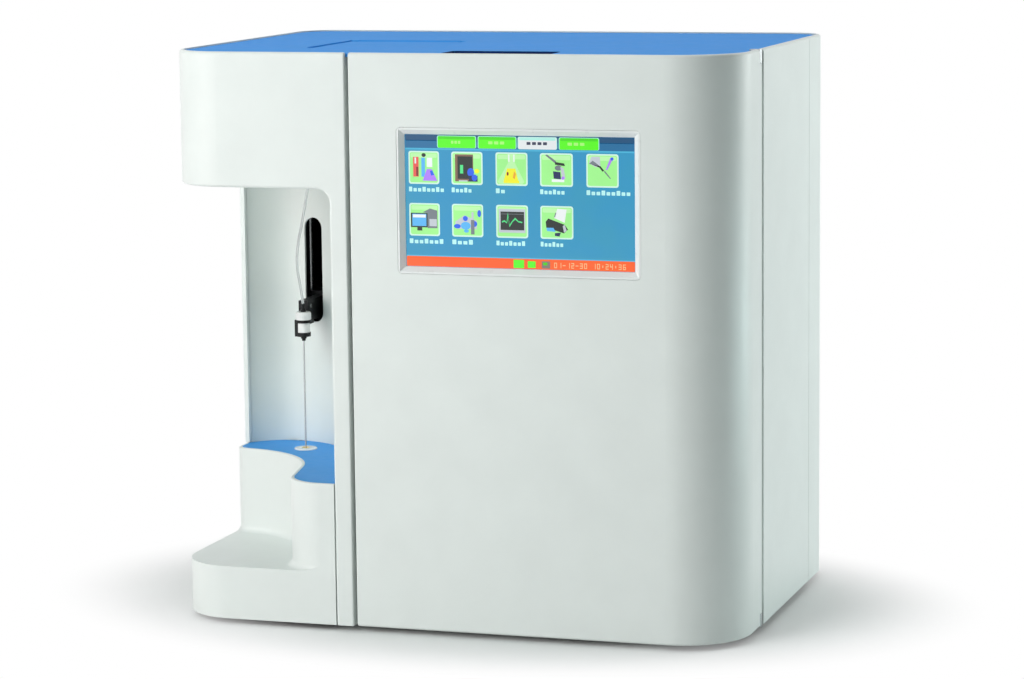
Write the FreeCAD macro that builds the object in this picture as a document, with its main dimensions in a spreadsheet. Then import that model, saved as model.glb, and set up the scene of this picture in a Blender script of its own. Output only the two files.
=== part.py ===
import FreeCAD, Part
import math
import os
import Sketcher
from FreeCAD import Placement, Rotation, Vector

# Bench-top electrolyte analyzer: moulded casing with a sampling bay at the left front,
# a hinged door with a touch screen, and the fluidics, needle drive and printer inside.
# Frame: millimetres, X to the viewer's right, Y towards the back, Z up,
# origin on the table at the middle of the footprint.

DIMENSIONS = [
    # casing
    ("case_width", 388.0),
    ("case_depth", 270.0),
    ("case_height", 379.0),
    ("foot_height", 4.0),
    ("foot_radius", 9.0),
    ("wall", 3.0),
    ("seam", 0.6),
    ("edge_radius", 2.0),
    ("soft_edge", 2.0),
    ("front_left_radius", 38.0),
    ("front_right_radius", 46.0),
    ("back_radius", 25.0),
    ("side_seam_depth", 70.0),
    ("rear_seam_depth", 212.0),
    # top panel and its seat
    ("panel_thickness", 2.2),
    ("panel_drop", 0.8),
    ("panel_gap", 1.0),
    ("ledge_width", 6.0),
    # sampling bay
    ("strip_edge", 127.8),
    ("bay_width", 115.8),
    ("bay_height", 195.0),
    ("bay_depth", 150.0),
    ("bay_corner_radius", 9.0),
    ("strip_lip", 15.0),
    ("liner_thickness", 2.5),
    ("hollow_inset", 30.0),
    ("hollow_reach", 60.0),
    ("platform_height", 95.0),
    ("step_height", 35.5),
    ("step_fillet", 4.0),
    ("lobe_radius", 29.0),
    ("lobe_lean", 11.0),
    ("lobe_side", 32.0),
    ("scoop_radius", 69.0),
    ("scoop_turn", 69.0),
    ("tip_radius", 10.0),
    ("inlay_thickness", 2.0),
    ("inlay_rim", 2.2),
    ("inlay_clearance", 0.2),
    # needle, its holder and its slot
    ("needle_inset", 50.0),
    ("needle_setback", 119.5),
    ("needle_radius", 0.6),
    ("needle_length", 88.0),
    ("holder_level", 174.6),
    ("holder_radius", 5.2),
    ("slot_width", 15.0),
    ("slot_bottom", 180.5),
    ("slot_margin", 22.0),
    ("needle_travel", 52.0),
    ("port_radius", 8.0),
    ("port_bore", 2.2),
    # needle drive
    ("rod_radius", 3.0),
    ("rod_spacing", 26.0),
    ("drive_setback", 175.0),
    ("screw_radius", 3.0),
    ("running_clearance", 0.05),
    ("carriage_height", 22.0),
    ("stepper_size", 35.0),
    ("stepper_height", 32.0),
    # door and screen
    ("door_seam", 2.6),
    ("door_lip", 14.0),
    ("bead_radius", 4.0),
    ("hinge_pin_radius", 1.5),
    ("knuckle_height", 9.0),
    ("hinge_seam", 1.8),
    ("screen_drop", 52.2),
    ("carrier_border", 14.0),
    ("screen_width", 154.1),
    ("screen_height", 85.9),
    ("bezel_border", 4.4),
    ("bezel_recess", 0.2),
    ("bezel_bevel", 3.2),
    ("glass_thickness", 1.1),
    ("module_depth", 9.0),
    # printer
    ("lid_inset", 77.0),
    ("lid_setback", 62.0),
    ("lid_width", 84.0),
    ("lid_length", 95.0),
    ("lid_corner", 8.0),
    ("lid_bead_radius", 1.9),
    ("lid_pin_radius", 0.8),
    ("lid_lug", 5.0),
    ("lid_drop", 0.8),
    ("lid_grip_depth", 0.7),
    ("platen_radius", 5.0),
    ("paper_width", 57.0),
    ("paper_roll_radius", 20.0),
    ("bucket_wall", 2.0),
    ("bucket_depth", 56.0),
    # finger recess behind the door's top edge
    ("grip_inset", 188.0),
    ("grip_width", 75.0),
    ("grip_depth", 32.0),
    ("grip_drop", 18.0),
    # frame sheet metal
    ("sheet_thickness", 2.0),
    ("bulkhead_setback", 73.0),
    ("bulkhead_drop", 14.0),
    # electrodes
    ("electrode_width", 18.0),
    ("electrode_depth", 30.0),
    ("electrode_height", 38.0),
    ("electrode_gap", 0.3),
    ("lock_radius", 3.0),
    # pump and valves
    ("valve_offset", 22.0),
    ("valve_radius", 11.0),
    ("pump_size", 62.0),
    ("raceway_radius", 26.0),
    ("tube_radius", 1.6),
    ("roller_radius", 5.0),
    ("roller_pin_radius", 1.5),
    ("pump_shaft_radius", 2.5),
    # reagent pack
    ("pack_gap", 4.6),
    ("pack_depth", 48.0),
    ("pack_height", 124.0),
    # back panel fittings
    ("inlet_width", 28.0),
    ("inlet_height", 48.0),
    ("screw_head_radius", 3.0),
    ("vent_length", 54.0),
    ("vent_width", 3.0),
    ("vent_pitch", 8.0),
]
ELECTRODES = 5
VENTS = 9
ROLLERS = 3
SCREEN_SHARE = 0.67
CARRIER_SHARE = 0.287
TOLERANCE = 1e-6

doc = FreeCAD.newDocument("ElectrolyteAnalyzer")
sheet = doc.addObject("Spreadsheet::Sheet", "Sizes")
for row, (alias, value) in enumerate(DIMENSIONS, start=1):
    sheet.set(f"A{row}", alias)
    sheet.set(f"B{row}", str(value))
    sheet.setAlias(f"B{row}", alias)
doc.recompute()


class Size:
    """A length that keeps its value and the sheet expression it comes from."""

    def __init__(self, value, text):
        self.value = float(value)
        self.text = text

    def __float__(self):
        return self.value

    def __neg__(self):
        return Size(-self.value, f"(-{self.text})")

    def __add__(self, other):
        other = sized(other)
        return Size(self.value + other.value, f"({self.text} + {other.text})")

    def __radd__(self, other):
        return sized(other) + self

    def __sub__(self, other):
        other = sized(other)
        return Size(self.value - other.value, f"({self.text} - {other.text})")

    def __mul__(self, factor):
        return Size(self.value * factor, f"({self.text} * {factor})")

    def __truediv__(self, factor):
        return Size(self.value / factor, f"({self.text} / {factor})")


def sized(number):
    """Lift a plain number to a Size."""
    if isinstance(number, Size):
        return number
    return Size(number, f"({float(number)!r})")


class Cells:
    """The driving dimensions, one attribute for each alias of the sheet."""


v = Cells()
for alias, value in DIMENSIONS:
    setattr(v, alias, Size(sheet.get(alias), f"Sizes.{alias}"))


# Shared planes of the casing

left = -(v.case_width / 2)
right = v.case_width / 2
front = -(v.case_depth / 2)
back = v.case_depth / 2
floor = v.foot_height
top = floor + v.case_height
panel_top = top - v.panel_drop
panel_seat = panel_top - v.panel_thickness
ledge_base = panel_seat - v.wall
side_seam = front + v.side_seam_depth
rear_seam = front + v.rear_seam_depth
strip_right = left + v.strip_edge
strip_left = left + v.bay_width
platform_top = floor + v.platform_height
step_top = floor + v.step_height
bay_top = platform_top + v.bay_height
bay_back = front + v.bay_depth
door_left = strip_right + v.door_seam
rim = v.wall + v.panel_gap
bulkhead_front = front + v.bulkhead_setback
bulkhead_back = bulkhead_front + v.sheet_thickness
base_bottom = floor + 1.0
base_top = base_bottom + v.sheet_thickness
needle_x = left + v.needle_inset
needle_y = front + v.needle_setback
drive_y = front + v.drive_setback
hinge_x = right - v.bead_radius
hinge_y = side_seam

parts = []


# Helpers: primitives bound to the sheet

def finish(obj, label):
    """Name a finished sub-part; the label names its file."""
    obj.Label = label
    parts.append(obj)
    return obj


def place(obj, x, y, z):
    """Bind the position of a primitive."""
    obj.setExpression("Placement.Base.x", sized(x).text)
    obj.setExpression("Placement.Base.y", sized(y).text)
    obj.setExpression("Placement.Base.z", sized(z).text)


def block(x0, x1, y0, y1, z0, z1):
    """A box between six bound planes."""
    obj = doc.addObject("Part::Box", "Block")
    obj.setExpression("Length", (sized(x1) - x0).text)
    obj.setExpression("Width", (sized(y1) - y0).text)
    obj.setExpression("Height", (sized(z1) - z0).text)
    place(obj, x0, y0, z0)
    return obj


AXIS_TURN = {
    "x": Rotation(Vector(0, 1, 0), 90),
    "y": Rotation(Vector(1, 0, 0), -90),
    "z": Rotation(),
}


def rod(axis, a, b, start, end, radius):
    """A cylinder along an axis; a and b are its other two coordinates in x, y, z order."""
    obj = doc.addObject("Part::Cylinder", "Rod")
    obj.Placement = Placement(Vector(), AXIS_TURN[axis])
    obj.setExpression("Radius", sized(radius).text)
    obj.setExpression("Height", (sized(end) - start).text)
    spot = {"x": (start, a, b), "y": (a, start, b), "z": (a, b, start)}[axis]
    place(obj, *spot)
    return obj


def cut(base, *tools):
    """Base less the tools."""
    obj = doc.addObject("Part::Cut", "Cut")
    obj.Base = base
    obj.Tool = tools[0] if len(tools) == 1 else fuse(*tools)
    return obj


def fuse(*shapes):
    """One solid from touching pieces."""
    obj = doc.addObject("Part::MultiFuse", "Fuse")
    obj.Shapes = list(shapes)
    obj.Refine = True
    return obj


def together(*shapes):
    """Separate like solids that share one sub-part."""
    obj = doc.addObject("Part::Compound", "Set")
    obj.Links = list(shapes)
    return obj


# Helpers: sketched bodies

PLANE_ROLE = {"xy": "XY_Plane", "xz": "XZ_Plane", "yz": "YZ_Plane"}


class Moulding:
    """A body built up from bound sketches."""

    def __init__(self, label):
        self.body = doc.addObject("PartDesign::Body", "Body")
        self.body.Label = label
        parts.append(self.body)

    def sketch(self, plane, level, draw):
        """A sketch on an origin plane, moved to a level along the plane's normal."""
        sketch = self.body.newObject("Sketcher::SketchObject", "Sketch")
        for feature in self.body.Origin.OriginFeatures:
            if feature.Role == PLANE_ROLE[plane]:
                sketch.AttachmentSupport = [(feature, "")]
        sketch.MapMode = "FlatFace"
        offset = -sized(level) if plane == "xz" else sized(level)
        sketch.setExpression("AttachmentOffset.Base.z", offset.text)
        draw(sketch)
        return sketch

    def pad(self, plane, start, end, draw):
        """Material between two levels of a plane."""
        level = end if plane == "xz" else start
        pad = self.body.newObject("PartDesign::Pad", "Pad")
        pad.Profile = self.sketch(plane, level, draw)
        pad.setExpression("Length", (sized(end) - start).text)
        doc.recompute()
        return pad

    def pocket(self, plane, start, end, draw):
        """Material taken away between two levels of a plane."""
        before = self.body.Shape.Volume
        level = start if plane == "xz" else end
        profile = self.sketch(plane, level, draw)
        pocket = self.body.newObject("PartDesign::Pocket", "Pocket")
        pocket.Profile = profile
        pocket.setExpression("Length", (sized(end) - start).text)
        doc.recompute()
        if not self.body.Shape.Volume < before - TOLERANCE:
            raise RuntimeError(f"a pocket of {self.body.Label} takes nothing away")
        return pocket

    def edges(self, test):
        """Names of the edges that pass a test."""
        tip = self.body.Tip
        return [f"Edge{i}" for i, edge in enumerate(tip.Shape.Edges, start=1) if test(edge)]

    def fillet(self, radius, test):
        """Round the edges that pass a test."""
        tip = self.body.Tip
        names = self.edges(test)
        if not names:
            raise RuntimeError(f"no edge to round on {self.body.Label}")
        fillet = self.body.newObject("PartDesign::Fillet", "Fillet")
        fillet.Base = (tip, names)
        fillet.setExpression("Radius", sized(radius).text)
        doc.recompute()
        return fillet

    def chamfer(self, length, test):
        """Bevel the edges that pass a test."""
        tip = self.body.Tip
        names = self.edges(test)
        chamfer = self.body.newObject("PartDesign::Chamfer", "Chamfer")
        chamfer.Base = (tip, names)
        chamfer.setExpression("Size", sized(length).text)
        doc.recompute()
        return chamfer


def straight_along(axis, **near):
    """A test for straight edges along an axis that pass close to a point."""
    index = "xyz".index(axis)

    def test(edge):
        if not isinstance(edge.Curve, Part.Line):
            return False
        direction = edge.tangentAt(edge.FirstParameter)
        if abs(abs(direction[index]) - 1) > TOLERANCE:
            return False
        middle = edge.CenterOfMass
        return all(abs(middle["xyz".index(k)] - float(near[k])) < 0.01 for k in near)
    return test


def anchor(sketch, geo, pos, u, vv):
    """Bind a point of a sketch to two distances from its origin."""
    for kind, size in (("DistanceX", u), ("DistanceY", vv)):
        index = sketch.addConstraint(Sketcher.Constraint(kind, -1, 1, geo, pos, float(size)))
        sketch.setExpression(f"Constraints[{index}]", sized(size).text)


def rectangle(sketch, u0, v0, u1, v1):
    """A rectangle fixed by two opposite corners."""
    corners = [(u0, v0), (u1, v0), (u1, v1), (u0, v1)]
    points = [Vector(float(a), float(b), 0) for a, b in corners]
    first = len(sketch.Geometry)
    for i in range(4):
        sketch.addGeometry(Part.LineSegment(points[i], points[(i + 1) % 4]), False)
    for i in range(4):
        sketch.addConstraint(Sketcher.Constraint("Coincident", first + i, 2, first + (i + 1) % 4, 1))
        sketch.addConstraint(Sketcher.Constraint("Vertical" if i % 2 else "Horizontal", first + i))
    anchor(sketch, first, 1, u0, v0)
    anchor(sketch, first + 2, 1, u1, v1)


def circle(sketch, u, w, radius):
    """A circle with bound centre and radius."""
    ring = Part.Circle(Vector(float(u), float(w), 0), Vector(0, 0, 1), float(radius))
    index = sketch.addGeometry(ring, False)
    bound = sketch.addConstraint(Sketcher.Constraint("Radius", index, float(radius)))
    sketch.setExpression(f"Constraints[{bound}]", sized(radius).text)
    anchor(sketch, index, 3, u, w)


def polygon(sketch, corners):
    """A closed outline of straight lines with bound corners."""
    points = [Vector(float(a), float(b), 0) for a, b in corners]
    first = len(sketch.Geometry)
    count = len(points)
    for i in range(count):
        sketch.addGeometry(Part.LineSegment(points[i], points[(i + 1) % count]), False)
    for i in range(count):
        sketch.addConstraint(Sketcher.Constraint("Coincident", first + i, 2, first + (i + 1) % count, 1))
        anchor(sketch, first + i, 1, *corners[i])


def curves(sketch, pieces):
    """A closed outline of lines and arcs that meet end to end."""
    first = len(sketch.Geometry)
    for piece in pieces:
        sketch.addGeometry(piece, False)
    for i in range(len(pieces)):
        last = first + (i + 1) % len(pieces)
        end = 2 if pieces[i].EndPoint.distanceToPoint(pieces[(i + 1) % len(pieces)].StartPoint) < 0.001 else 1
        sketch.addConstraint(Sketcher.Constraint("Coincident", first + i, end, last, 1))


def rounded(sketch, x0, y0, x1, y1, radii):
    """A rectangle whose corners have radii, in order from (x0, y0) counterclockwise."""
    x0, y0, x1, y1 = (float(n) for n in (x0, y0, x1, y1))
    corners = [(x0, y0, 1, 1, 180), (x1, y0, -1, 1, 270), (x1, y1, -1, -1, 0), (x0, y1, 1, -1, 90)]
    pieces = []
    ends = []
    for (x, y, sx, sy, turn), radius in zip(corners, radii):
        radius = float(radius)
        if radius > TOLERANCE:
            ring = Part.Circle(Vector(x + sx * radius, y + sy * radius, 0), Vector(0, 0, 1), radius)
            arc = Part.ArcOfCircle(ring, math.radians(turn), math.radians(turn + 90))
            ends.append((arc.StartPoint, arc.EndPoint, arc))
        else:
            ends.append((Vector(x, y, 0), Vector(x, y, 0), None))
    for i in range(4):
        start, end, arc = ends[i]
        if arc is not None:
            pieces.append(arc)
        pieces.append(Part.LineSegment(end, ends[(i + 1) % 4][0]))
    curves(sketch, pieces)


def plan_inside(sketch, inset, x0=None, y0=None, x1=None, y1=None):
    """The casing's outline in plan, moved inwards; a side given by hand is square."""
    inset = sized(inset)
    radii = [
        0 if (x0 is not None or y0 is not None) else v.front_left_radius - inset,
        0 if (x1 is not None or y0 is not None) else v.front_right_radius - inset,
        0 if (x1 is not None or y1 is not None) else v.back_radius - inset,
        0 if (x0 is not None or y1 is not None) else v.back_radius - inset,
    ]
    rounded(
        sketch,
        left + inset if x0 is None else x0,
        front + inset if y0 is None else y0,
        right - inset if x1 is None else x1,
        back - inset if y1 is None else y1,
        radii,
    )


def seat_for_panel(cover, **sides):
    """The rim and the ledge that hold the top panel, cut into a cover's upper end."""
    cover.pocket("xy", panel_seat, top + 1, lambda s: plan_inside(s, v.wall, **sides))
    neck = v.wall + v.ledge_width
    cover.pocket("xy", ledge_base, panel_seat, lambda s: plan_inside(s, neck, **sides))


def plate_face(x0, y0, x1, y1, radii):
    """A rectangle with rounded corners as a face."""
    holder = Collector()
    rounded(holder, x0, y0, x1, y1, radii)
    return Part.Face(Part.Wire(Part.__sortEdges__([g.toShape() for g in holder.Geometry])))


class Collector:
    """Takes geometry as a sketch does, for outlines used outside a sketch."""

    def __init__(self):
        self.Geometry = []

    def addGeometry(self, piece, construction):
        self.Geometry.append(piece)
        return len(self.Geometry) - 1

    def addConstraint(self, constraint):
        return constraint


outline_holder = Collector()
plan_inside(outline_holder, 0)
casing_outline = Part.Wire(Part.__sortEdges__([g.toShape() for g in outline_holder.Geometry]))


def on_outline(height):
    """Picks the casing's outer edges at one height."""
    def picked(edge):
        box = edge.BoundBox
        level = abs(box.ZMin - float(height)) < 0.001 and abs(box.ZMax - float(height)) < 0.001
        middle = edge.valueAt((edge.FirstParameter + edge.LastParameter) / 2)
        return level and casing_outline.distToShape(Part.Vertex(middle.x, middle.y, 0))[0] < 0.01
    return picked


def elliptic(centre, half_x, half_y, start, end):
    """An arc of an ellipse; start and end are its own angles, counterclockwise from +X."""
    if half_y > half_x:
        curve = Part.Ellipse(centre + Vector(0, half_y, 0), centre + Vector(-half_x, 0, 0), centre)
        return Part.ArcOfEllipse(curve, start - math.pi / 2, end - math.pi / 2)
    curve = Part.Ellipse(centre + Vector(half_x, 0, 0), centre + Vector(0, half_y, 0), centre)
    return Part.ArcOfEllipse(curve, start, end)


def wall_arcs(inset, low_y, end_x):
    """The curved wall in plan: from its right end to its deepest line, then forward again to the left."""
    inset = float(inset)
    deepest = float(left + v.hollow_inset)
    centre = Vector(deepest, float(front), 0)
    half_y = float(v.bay_depth) + 1 + inset
    right_half = float(strip_left) - deepest + inset
    left_half = float(v.hollow_reach) + inset
    start = math.asin((float(low_y) - float(front)) / half_y)
    stop = math.acos((float(end_x) - deepest) / left_half)
    return [
        elliptic(centre, right_half, half_y, start, math.pi / 2),
        elliptic(centre, left_half, half_y, math.pi / 2, stop),
    ]


# Casing: left front cover with its head and strip

half_seam = v.seam / 2
bay_side = sized(wall_arcs(0, front, left)[1].EndPoint.y)

head = Moulding("left_front_cover")
head.pad("xy", floor, top, lambda s: rectangle(s, left, front, strip_right, side_seam - half_seam))
head.fillet(v.front_left_radius, straight_along("z", x=left, y=front))
head.pocket("xz", front - 1, side_seam + 1, lambda s: rectangle(s, left - 1, floor - 1, strip_left, bay_top))
head.fillet(v.bay_corner_radius, straight_along("y", x=strip_left, z=bay_top))
seat_for_panel(head, x1=strip_right + 1, y1=side_seam + 1)
head.pocket("xy", bay_top + v.wall, ledge_base,
            lambda s: plan_inside(s, v.wall, x1=strip_right - v.wall, y1=side_seam + 1))
head.pocket("xy", floor + v.wall, bay_top + v.wall,
            lambda s: rectangle(s, strip_left + v.wall, front + v.wall, strip_right - v.wall, side_seam + 1))
head.pocket("xy", floor - 1, bay_top, lambda s: rectangle(
    s, strip_left - v.bay_corner_radius - 1, front + v.strip_lip, strip_left + v.wall, side_seam + 1))
lid_front = front + v.lid_setback
bucket_low = panel_seat - v.bucket_depth
head.pocket("xy", bucket_low - 2, top + 1, lambda s: rectangle(
    s, strip_right - v.wall - 1, lid_front - 6, strip_right + 1, side_seam + 1))
head.fillet(v.edge_radius, on_outline(top))
head.fillet(v.soft_edge, on_outline(bay_top))
head.fillet(v.edge_radius / 2, straight_along("z", x=strip_right, y=front))

# Casing: sides and back

left_side = Moulding("left_side_cover")
left_side.pad("yz", left, left + v.wall, lambda s: polygon(s, [
    (side_seam + half_seam, bay_top + v.wall),
    (bay_side, bay_top + v.wall),
    (bay_side, platform_top + v.seam),
    (bay_back + half_seam, platform_top + v.seam),
    (bay_back + half_seam, floor),
    (rear_seam - half_seam, floor),
    (rear_seam - half_seam, top),
    (side_seam + half_seam, top),
]))
left_side.pad("xy", ledge_base, panel_seat, lambda s: rectangle(
    s, left + v.wall / 2, side_seam + half_seam, left + v.wall + v.ledge_width, rear_seam - half_seam))
left_side.pad("xy", base_top, base_top + v.wall, lambda s: rectangle(
    s, left + v.wall / 2, bay_back + 12, left + v.wall + 14, rear_seam - 6))
left_side.fillet(v.edge_radius, on_outline(top))

right_side = Moulding("right_side_cover")
right_side_front = side_seam + v.bead_radius + v.hinge_seam
right_side.pad("xy", floor, top, lambda s: rectangle(
    s, right - v.wall, right_side_front, right, rear_seam - half_seam))
right_side.pad("xy", ledge_base, panel_seat, lambda s: rectangle(
    s, right - v.wall - v.ledge_width, right_side_front, right - v.wall / 2, rear_seam - half_seam))
right_side.pad("xy", base_top, base_top + v.wall, lambda s: rectangle(
    s, right - v.wall - 14, right_side_front + 20, right - v.wall / 2, rear_seam - 6))
right_side.fillet(v.edge_radius, on_outline(top))

rear = Moulding("rear_cover")
rear.pad("xy", floor, top, lambda s: rectangle(s, left, rear_seam + half_seam, right, back))
rear.fillet(v.back_radius, straight_along("z", y=back))
seat_for_panel(rear, y0=rear_seam - 1)
rear.pocket("xy", floor - 1, ledge_base, lambda s: plan_inside(s, v.wall, y0=rear_seam - 1))
rear.fillet(v.edge_radius, on_outline(top))
inlet_x = right - 62
inlet_z = floor + 52
switch_z = inlet_z + v.inlet_height / 2 + 22
rear.pocket("xz", back - v.wall - 1, back + 1, lambda s: rectangle(
    s, inlet_x - v.inlet_width / 2, inlet_z - v.inlet_height / 2,
    inlet_x + v.inlet_width / 2, inlet_z + v.inlet_height / 2))
rear.pocket("xz", back - v.wall - 1, back + 1, lambda s: rectangle(
    s, inlet_x - 9.7, switch_z - 6.7, inlet_x + 9.7, switch_z + 6.7))
port_z = floor + 60
serial_x = left + 84
usb_x = left + 124
network_x = left + 152
rear.pocket("xz", back - v.wall - 1, back + 1, lambda s: rectangle(
    s, serial_x - 8.7, port_z - 4.7, serial_x + 8.7, port_z + 4.7))
rear.pocket("xz", back - v.wall - 1, back + 1, lambda s: rectangle(
    s, usb_x - 7, port_z - 7.7, usb_x + 7, port_z + 7.7))
rear.pocket("xz", back - v.wall - 1, back + 1, lambda s: rectangle(
    s, network_x - 8, port_z - 6.7, network_x + 8, port_z + 6.7))
vent_z = top - 130
screw_spots = []
for x in (left + 40, right - 40):
    for z in (floor + 14, floor + v.case_height / 2, top - 24):
        screw_spots.append((x, z))
for x, z in screw_spots:
    rear.pocket("xz", back - 1.8, back + 1, lambda s: circle(s, x, z, v.screw_head_radius + 0.2))
    rear.pocket("xz", back - v.wall - 1, back + 1, lambda s: circle(s, x, z, 1.6))
first_vent = rear.pocket("xz", back - v.wall - 1, back + 1, lambda s: rectangle(
    s, -(v.vent_length / 2) - 50, vent_z, v.vent_length / 2 - 50, vent_z + v.vent_width))
vents = rear.body.newObject("PartDesign::LinearPattern", "Vents")
vents.Originals = [first_vent]
vents.Direction = (first_vent.Profile[0], ["V_Axis"])
vents.setExpression("Length", (v.vent_pitch * (VENTS - 1)).text)
vents.Occurrences = VENTS
rear.body.Tip = vents
doc.recompute()


# Sample base: step, riser with a scooped front, and the blue inlay on top

def riser_outline(inset):
    """The riser in plan: a rounded lobe at the strip, a lean side, the scoop and a rounded tip."""
    inset = float(inset)
    x_right = float(strip_left - half_seam) 
    y_front = float(front) + inset
    x_left = float(left) + inset
    lobe = float(v.lobe_radius)
    lean = math.radians(float(v.lobe_lean))
    turn = math.radians(float(v.scoop_turn))
    centre = Vector(x_right - 10.4, float(front) + lobe, 0)
    ring = Part.Circle(centre, Vector(0, 0, 1), lobe - inset)
    lobe_arc = Part.ArcOfCircle(ring, math.pi + math.radians(float(v.lobe_lean)), 1.5 * math.pi)
    outward = Vector(-math.cos(lean), -math.sin(lean), 0)
    along = Vector(-math.sin(lean), math.cos(lean), 0)
    side_start = centre + outward * (lobe - inset)
    side_end = side_start + along * float(v.lobe_side)
    scoop = float(v.scoop_radius) + inset
    hub = side_end + outward * scoop
    scoop_ring = Part.Circle(hub, Vector(0, 0, 1), scoop)
    scoop_arc = Part.ArcOfCircle(scoop_ring, lean, lean + turn)
    scoop_end = scoop_arc.EndPoint
    heading = Vector(-math.sin(lean + turn), math.cos(lean + turn), 0)
    tip = float(v.tip_radius) - inset
    side_normal = Vector(math.cos(lean + turn), math.sin(lean + turn), 0)
    # the tip's centre lies one radius inside both the scoop's last tangent and the left side
    base = scoop_end + side_normal * tip
    travel = (base.x - (x_left + tip)) / -heading.x
    tip_centre = base + heading * travel
    tip_ring = Part.Circle(tip_centre, Vector(0, 0, 1), tip)
    tip_arc = Part.ArcOfCircle(tip_ring, math.pi, math.pi + lean + turn)
    return [
        Part.LineSegment(Vector(x_right, y_front, 0), lobe_arc.EndPoint),
        lobe_arc,
        Part.LineSegment(side_start, side_end),
        scoop_arc,
        Part.LineSegment(scoop_end, tip_arc.EndPoint),
        tip_arc,
        tip_arc.StartPoint,
        Vector(x_right, y_front, 0),
    ]


def closed_riser(inset, back_edge):
    """The riser's outline closed along a straight back edge."""
    pieces = riser_outline(inset)
    left_point, right_point = pieces[6], pieces[7]
    back_left = Vector(left_point.x, float(back_edge), 0)
    back_right = Vector(right_point.x, float(back_edge), 0)
    edges = [piece.toShape() for piece in pieces[:6]]
    edges.append(Part.LineSegment(left_point, back_left).toShape())
    edges.append(Part.LineSegment(back_left, back_right).toShape())
    edges.append(Part.LineSegment(back_right, right_point).toShape())
    return Part.Face(Part.Wire(Part.__sortEdges__(edges)))


def prism(face, low, high):
    """A face lifted between two heights."""
    lifted = face.copy()
    lifted.translate(Vector(0, 0, float(low)))
    return lifted.extrude(Vector(0, 0, float(high) - float(low)))


def solid_part(shape, label):
    """A shaped solid as a sub-part of its own."""
    obj = doc.addObject("Part::Feature", "Shaped")
    obj.Shape = shape
    obj.Placement = Placement()
    return finish(obj, label)


def bay_face(inset, low_y, x_left):
    """The plan of the bay in front of the curved wall."""
    x_left = float(x_left)
    arcs = wall_arcs(inset, low_y, max(x_left, float(left)))
    near = arcs[0].StartPoint
    far = arcs[1].EndPoint
    corners = [far, Vector(x_left, near.y, 0), near]
    if x_left < far.x - TOLERANCE:
        corners.insert(1, Vector(x_left, far.y, 0))
    edges = [arc.toShape() for arc in arcs]
    edges += [Part.LineSegment(a, b).toShape() for a, b in zip(corners, corners[1:])]
    return Part.Face(Part.Wire(Part.__sortEdges__(edges)))


base_back = bay_back - half_seam
foot_face = plate_face(left, front, strip_left - half_seam, base_back, [v.front_left_radius, 0, 0, 0])
step = prism(foot_face, floor, step_top)
riser = prism(closed_riser(0, base_back), step_top, platform_top)
body = step.fuse(riser).removeSplitter()


def level_edges(shape, height, keep):
    """Edges of a shape that lie at one height and pass a test."""
    found = []
    for edge in shape.Edges:
        box = edge.BoundBox
        if abs(box.ZMin - float(height)) < 0.001 and abs(box.ZMax - float(height)) < 0.001 and keep(edge):
            found.append(edge)
    return found


def scooped(edge):
    """Whether an edge belongs to the riser's visible front."""
    middle = edge.valueAt((edge.FirstParameter + edge.LastParameter) / 2)
    off_back = middle.y < float(base_back) - 0.01
    off_right = middle.x < float(strip_left - half_seam) - 0.01
    return off_back and off_right


riser_feet = [e for e in level_edges(body, step_top, scooped)
              if e.valueAt((e.FirstParameter + e.LastParameter) / 2).x > float(left) + 0.5
              and e.valueAt((e.FirstParameter + e.LastParameter) / 2).y > float(front) + 0.5]
riser_feet = [e for e in riser_feet if body.isInside(
    e.valueAt((e.FirstParameter + e.LastParameter) / 2) + Vector(0, 0, 0.5), 0.01, True)]
body = body.makeFillet(float(v.step_fillet), riser_feet)
inner_foot = prism(plate_face(left + v.wall, front + v.wall, strip_left - half_seam - v.wall,
                              base_back - v.wall, [v.front_left_radius - v.wall, 0, 0, 0]),
                   floor - 1, step_top - v.wall)
inner_riser = prism(closed_riser(v.wall + v.step_fillet, base_back - v.wall).common(
    plate_face(left, front, strip_left - half_seam - v.wall, back, [0, 0, 0, 0])),
    step_top - v.wall, platform_top - v.inlay_thickness - v.wall)
body = body.cut(inner_foot).cut(inner_riser)
body = body.makeFillet(float(v.edge_radius / 2), level_edges(body, platform_top, scooped))


def inlay_face(inset, wall_gap):
    """The blue inlay in plan: the riser's outline inside its rim, up to the curved wall."""
    face = closed_riser(inset, base_back)
    return face.common(bay_face(-float(wall_gap), front + v.wall / 2, left))


inlay_recess = prism(inlay_face(v.inlay_rim, 0.0), platform_top - v.inlay_thickness, platform_top + 1)
port_hole = Part.makeCylinder(float(v.port_radius) - 1.2, 40,
                              Vector(float(needle_x), float(needle_y), float(platform_top) - 30))
foot_boss = Part.makeCylinder(float(v.foot_radius), float(v.step_height) - 1,
                              Vector(float(left) + 34, float(front) + 34, float(floor)))
body = body.cut(inlay_recess).cut(port_hole).fuse(foot_boss)
solid_part(body.removeSplitter(), "sample_base")

inlay = prism(inlay_face(v.inlay_rim + v.inlay_clearance, v.inlay_clearance),
              platform_top - v.inlay_thickness, platform_top)
solid_part(inlay.cut(port_hole), "platform_inlay")


# Rinse port, needle and holder: turned parts

def turned(label, x, y, profile):
    """A part turned about a vertical axis; profile is radius and height pairs, closed."""
    piece = Moulding(label)

    def draw(sketch):
        polygon(sketch, profile)
    sketch = piece.sketch("xz", 0, draw)
    turn = piece.body.newObject("PartDesign::Revolution", "Turn")
    turn.Profile = sketch
    turn.ReferenceAxis = (sketch, ["V_Axis"])
    turn.Angle = 360
    place(piece.body, x, y, 0)
    doc.recompute()
    return piece


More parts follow.
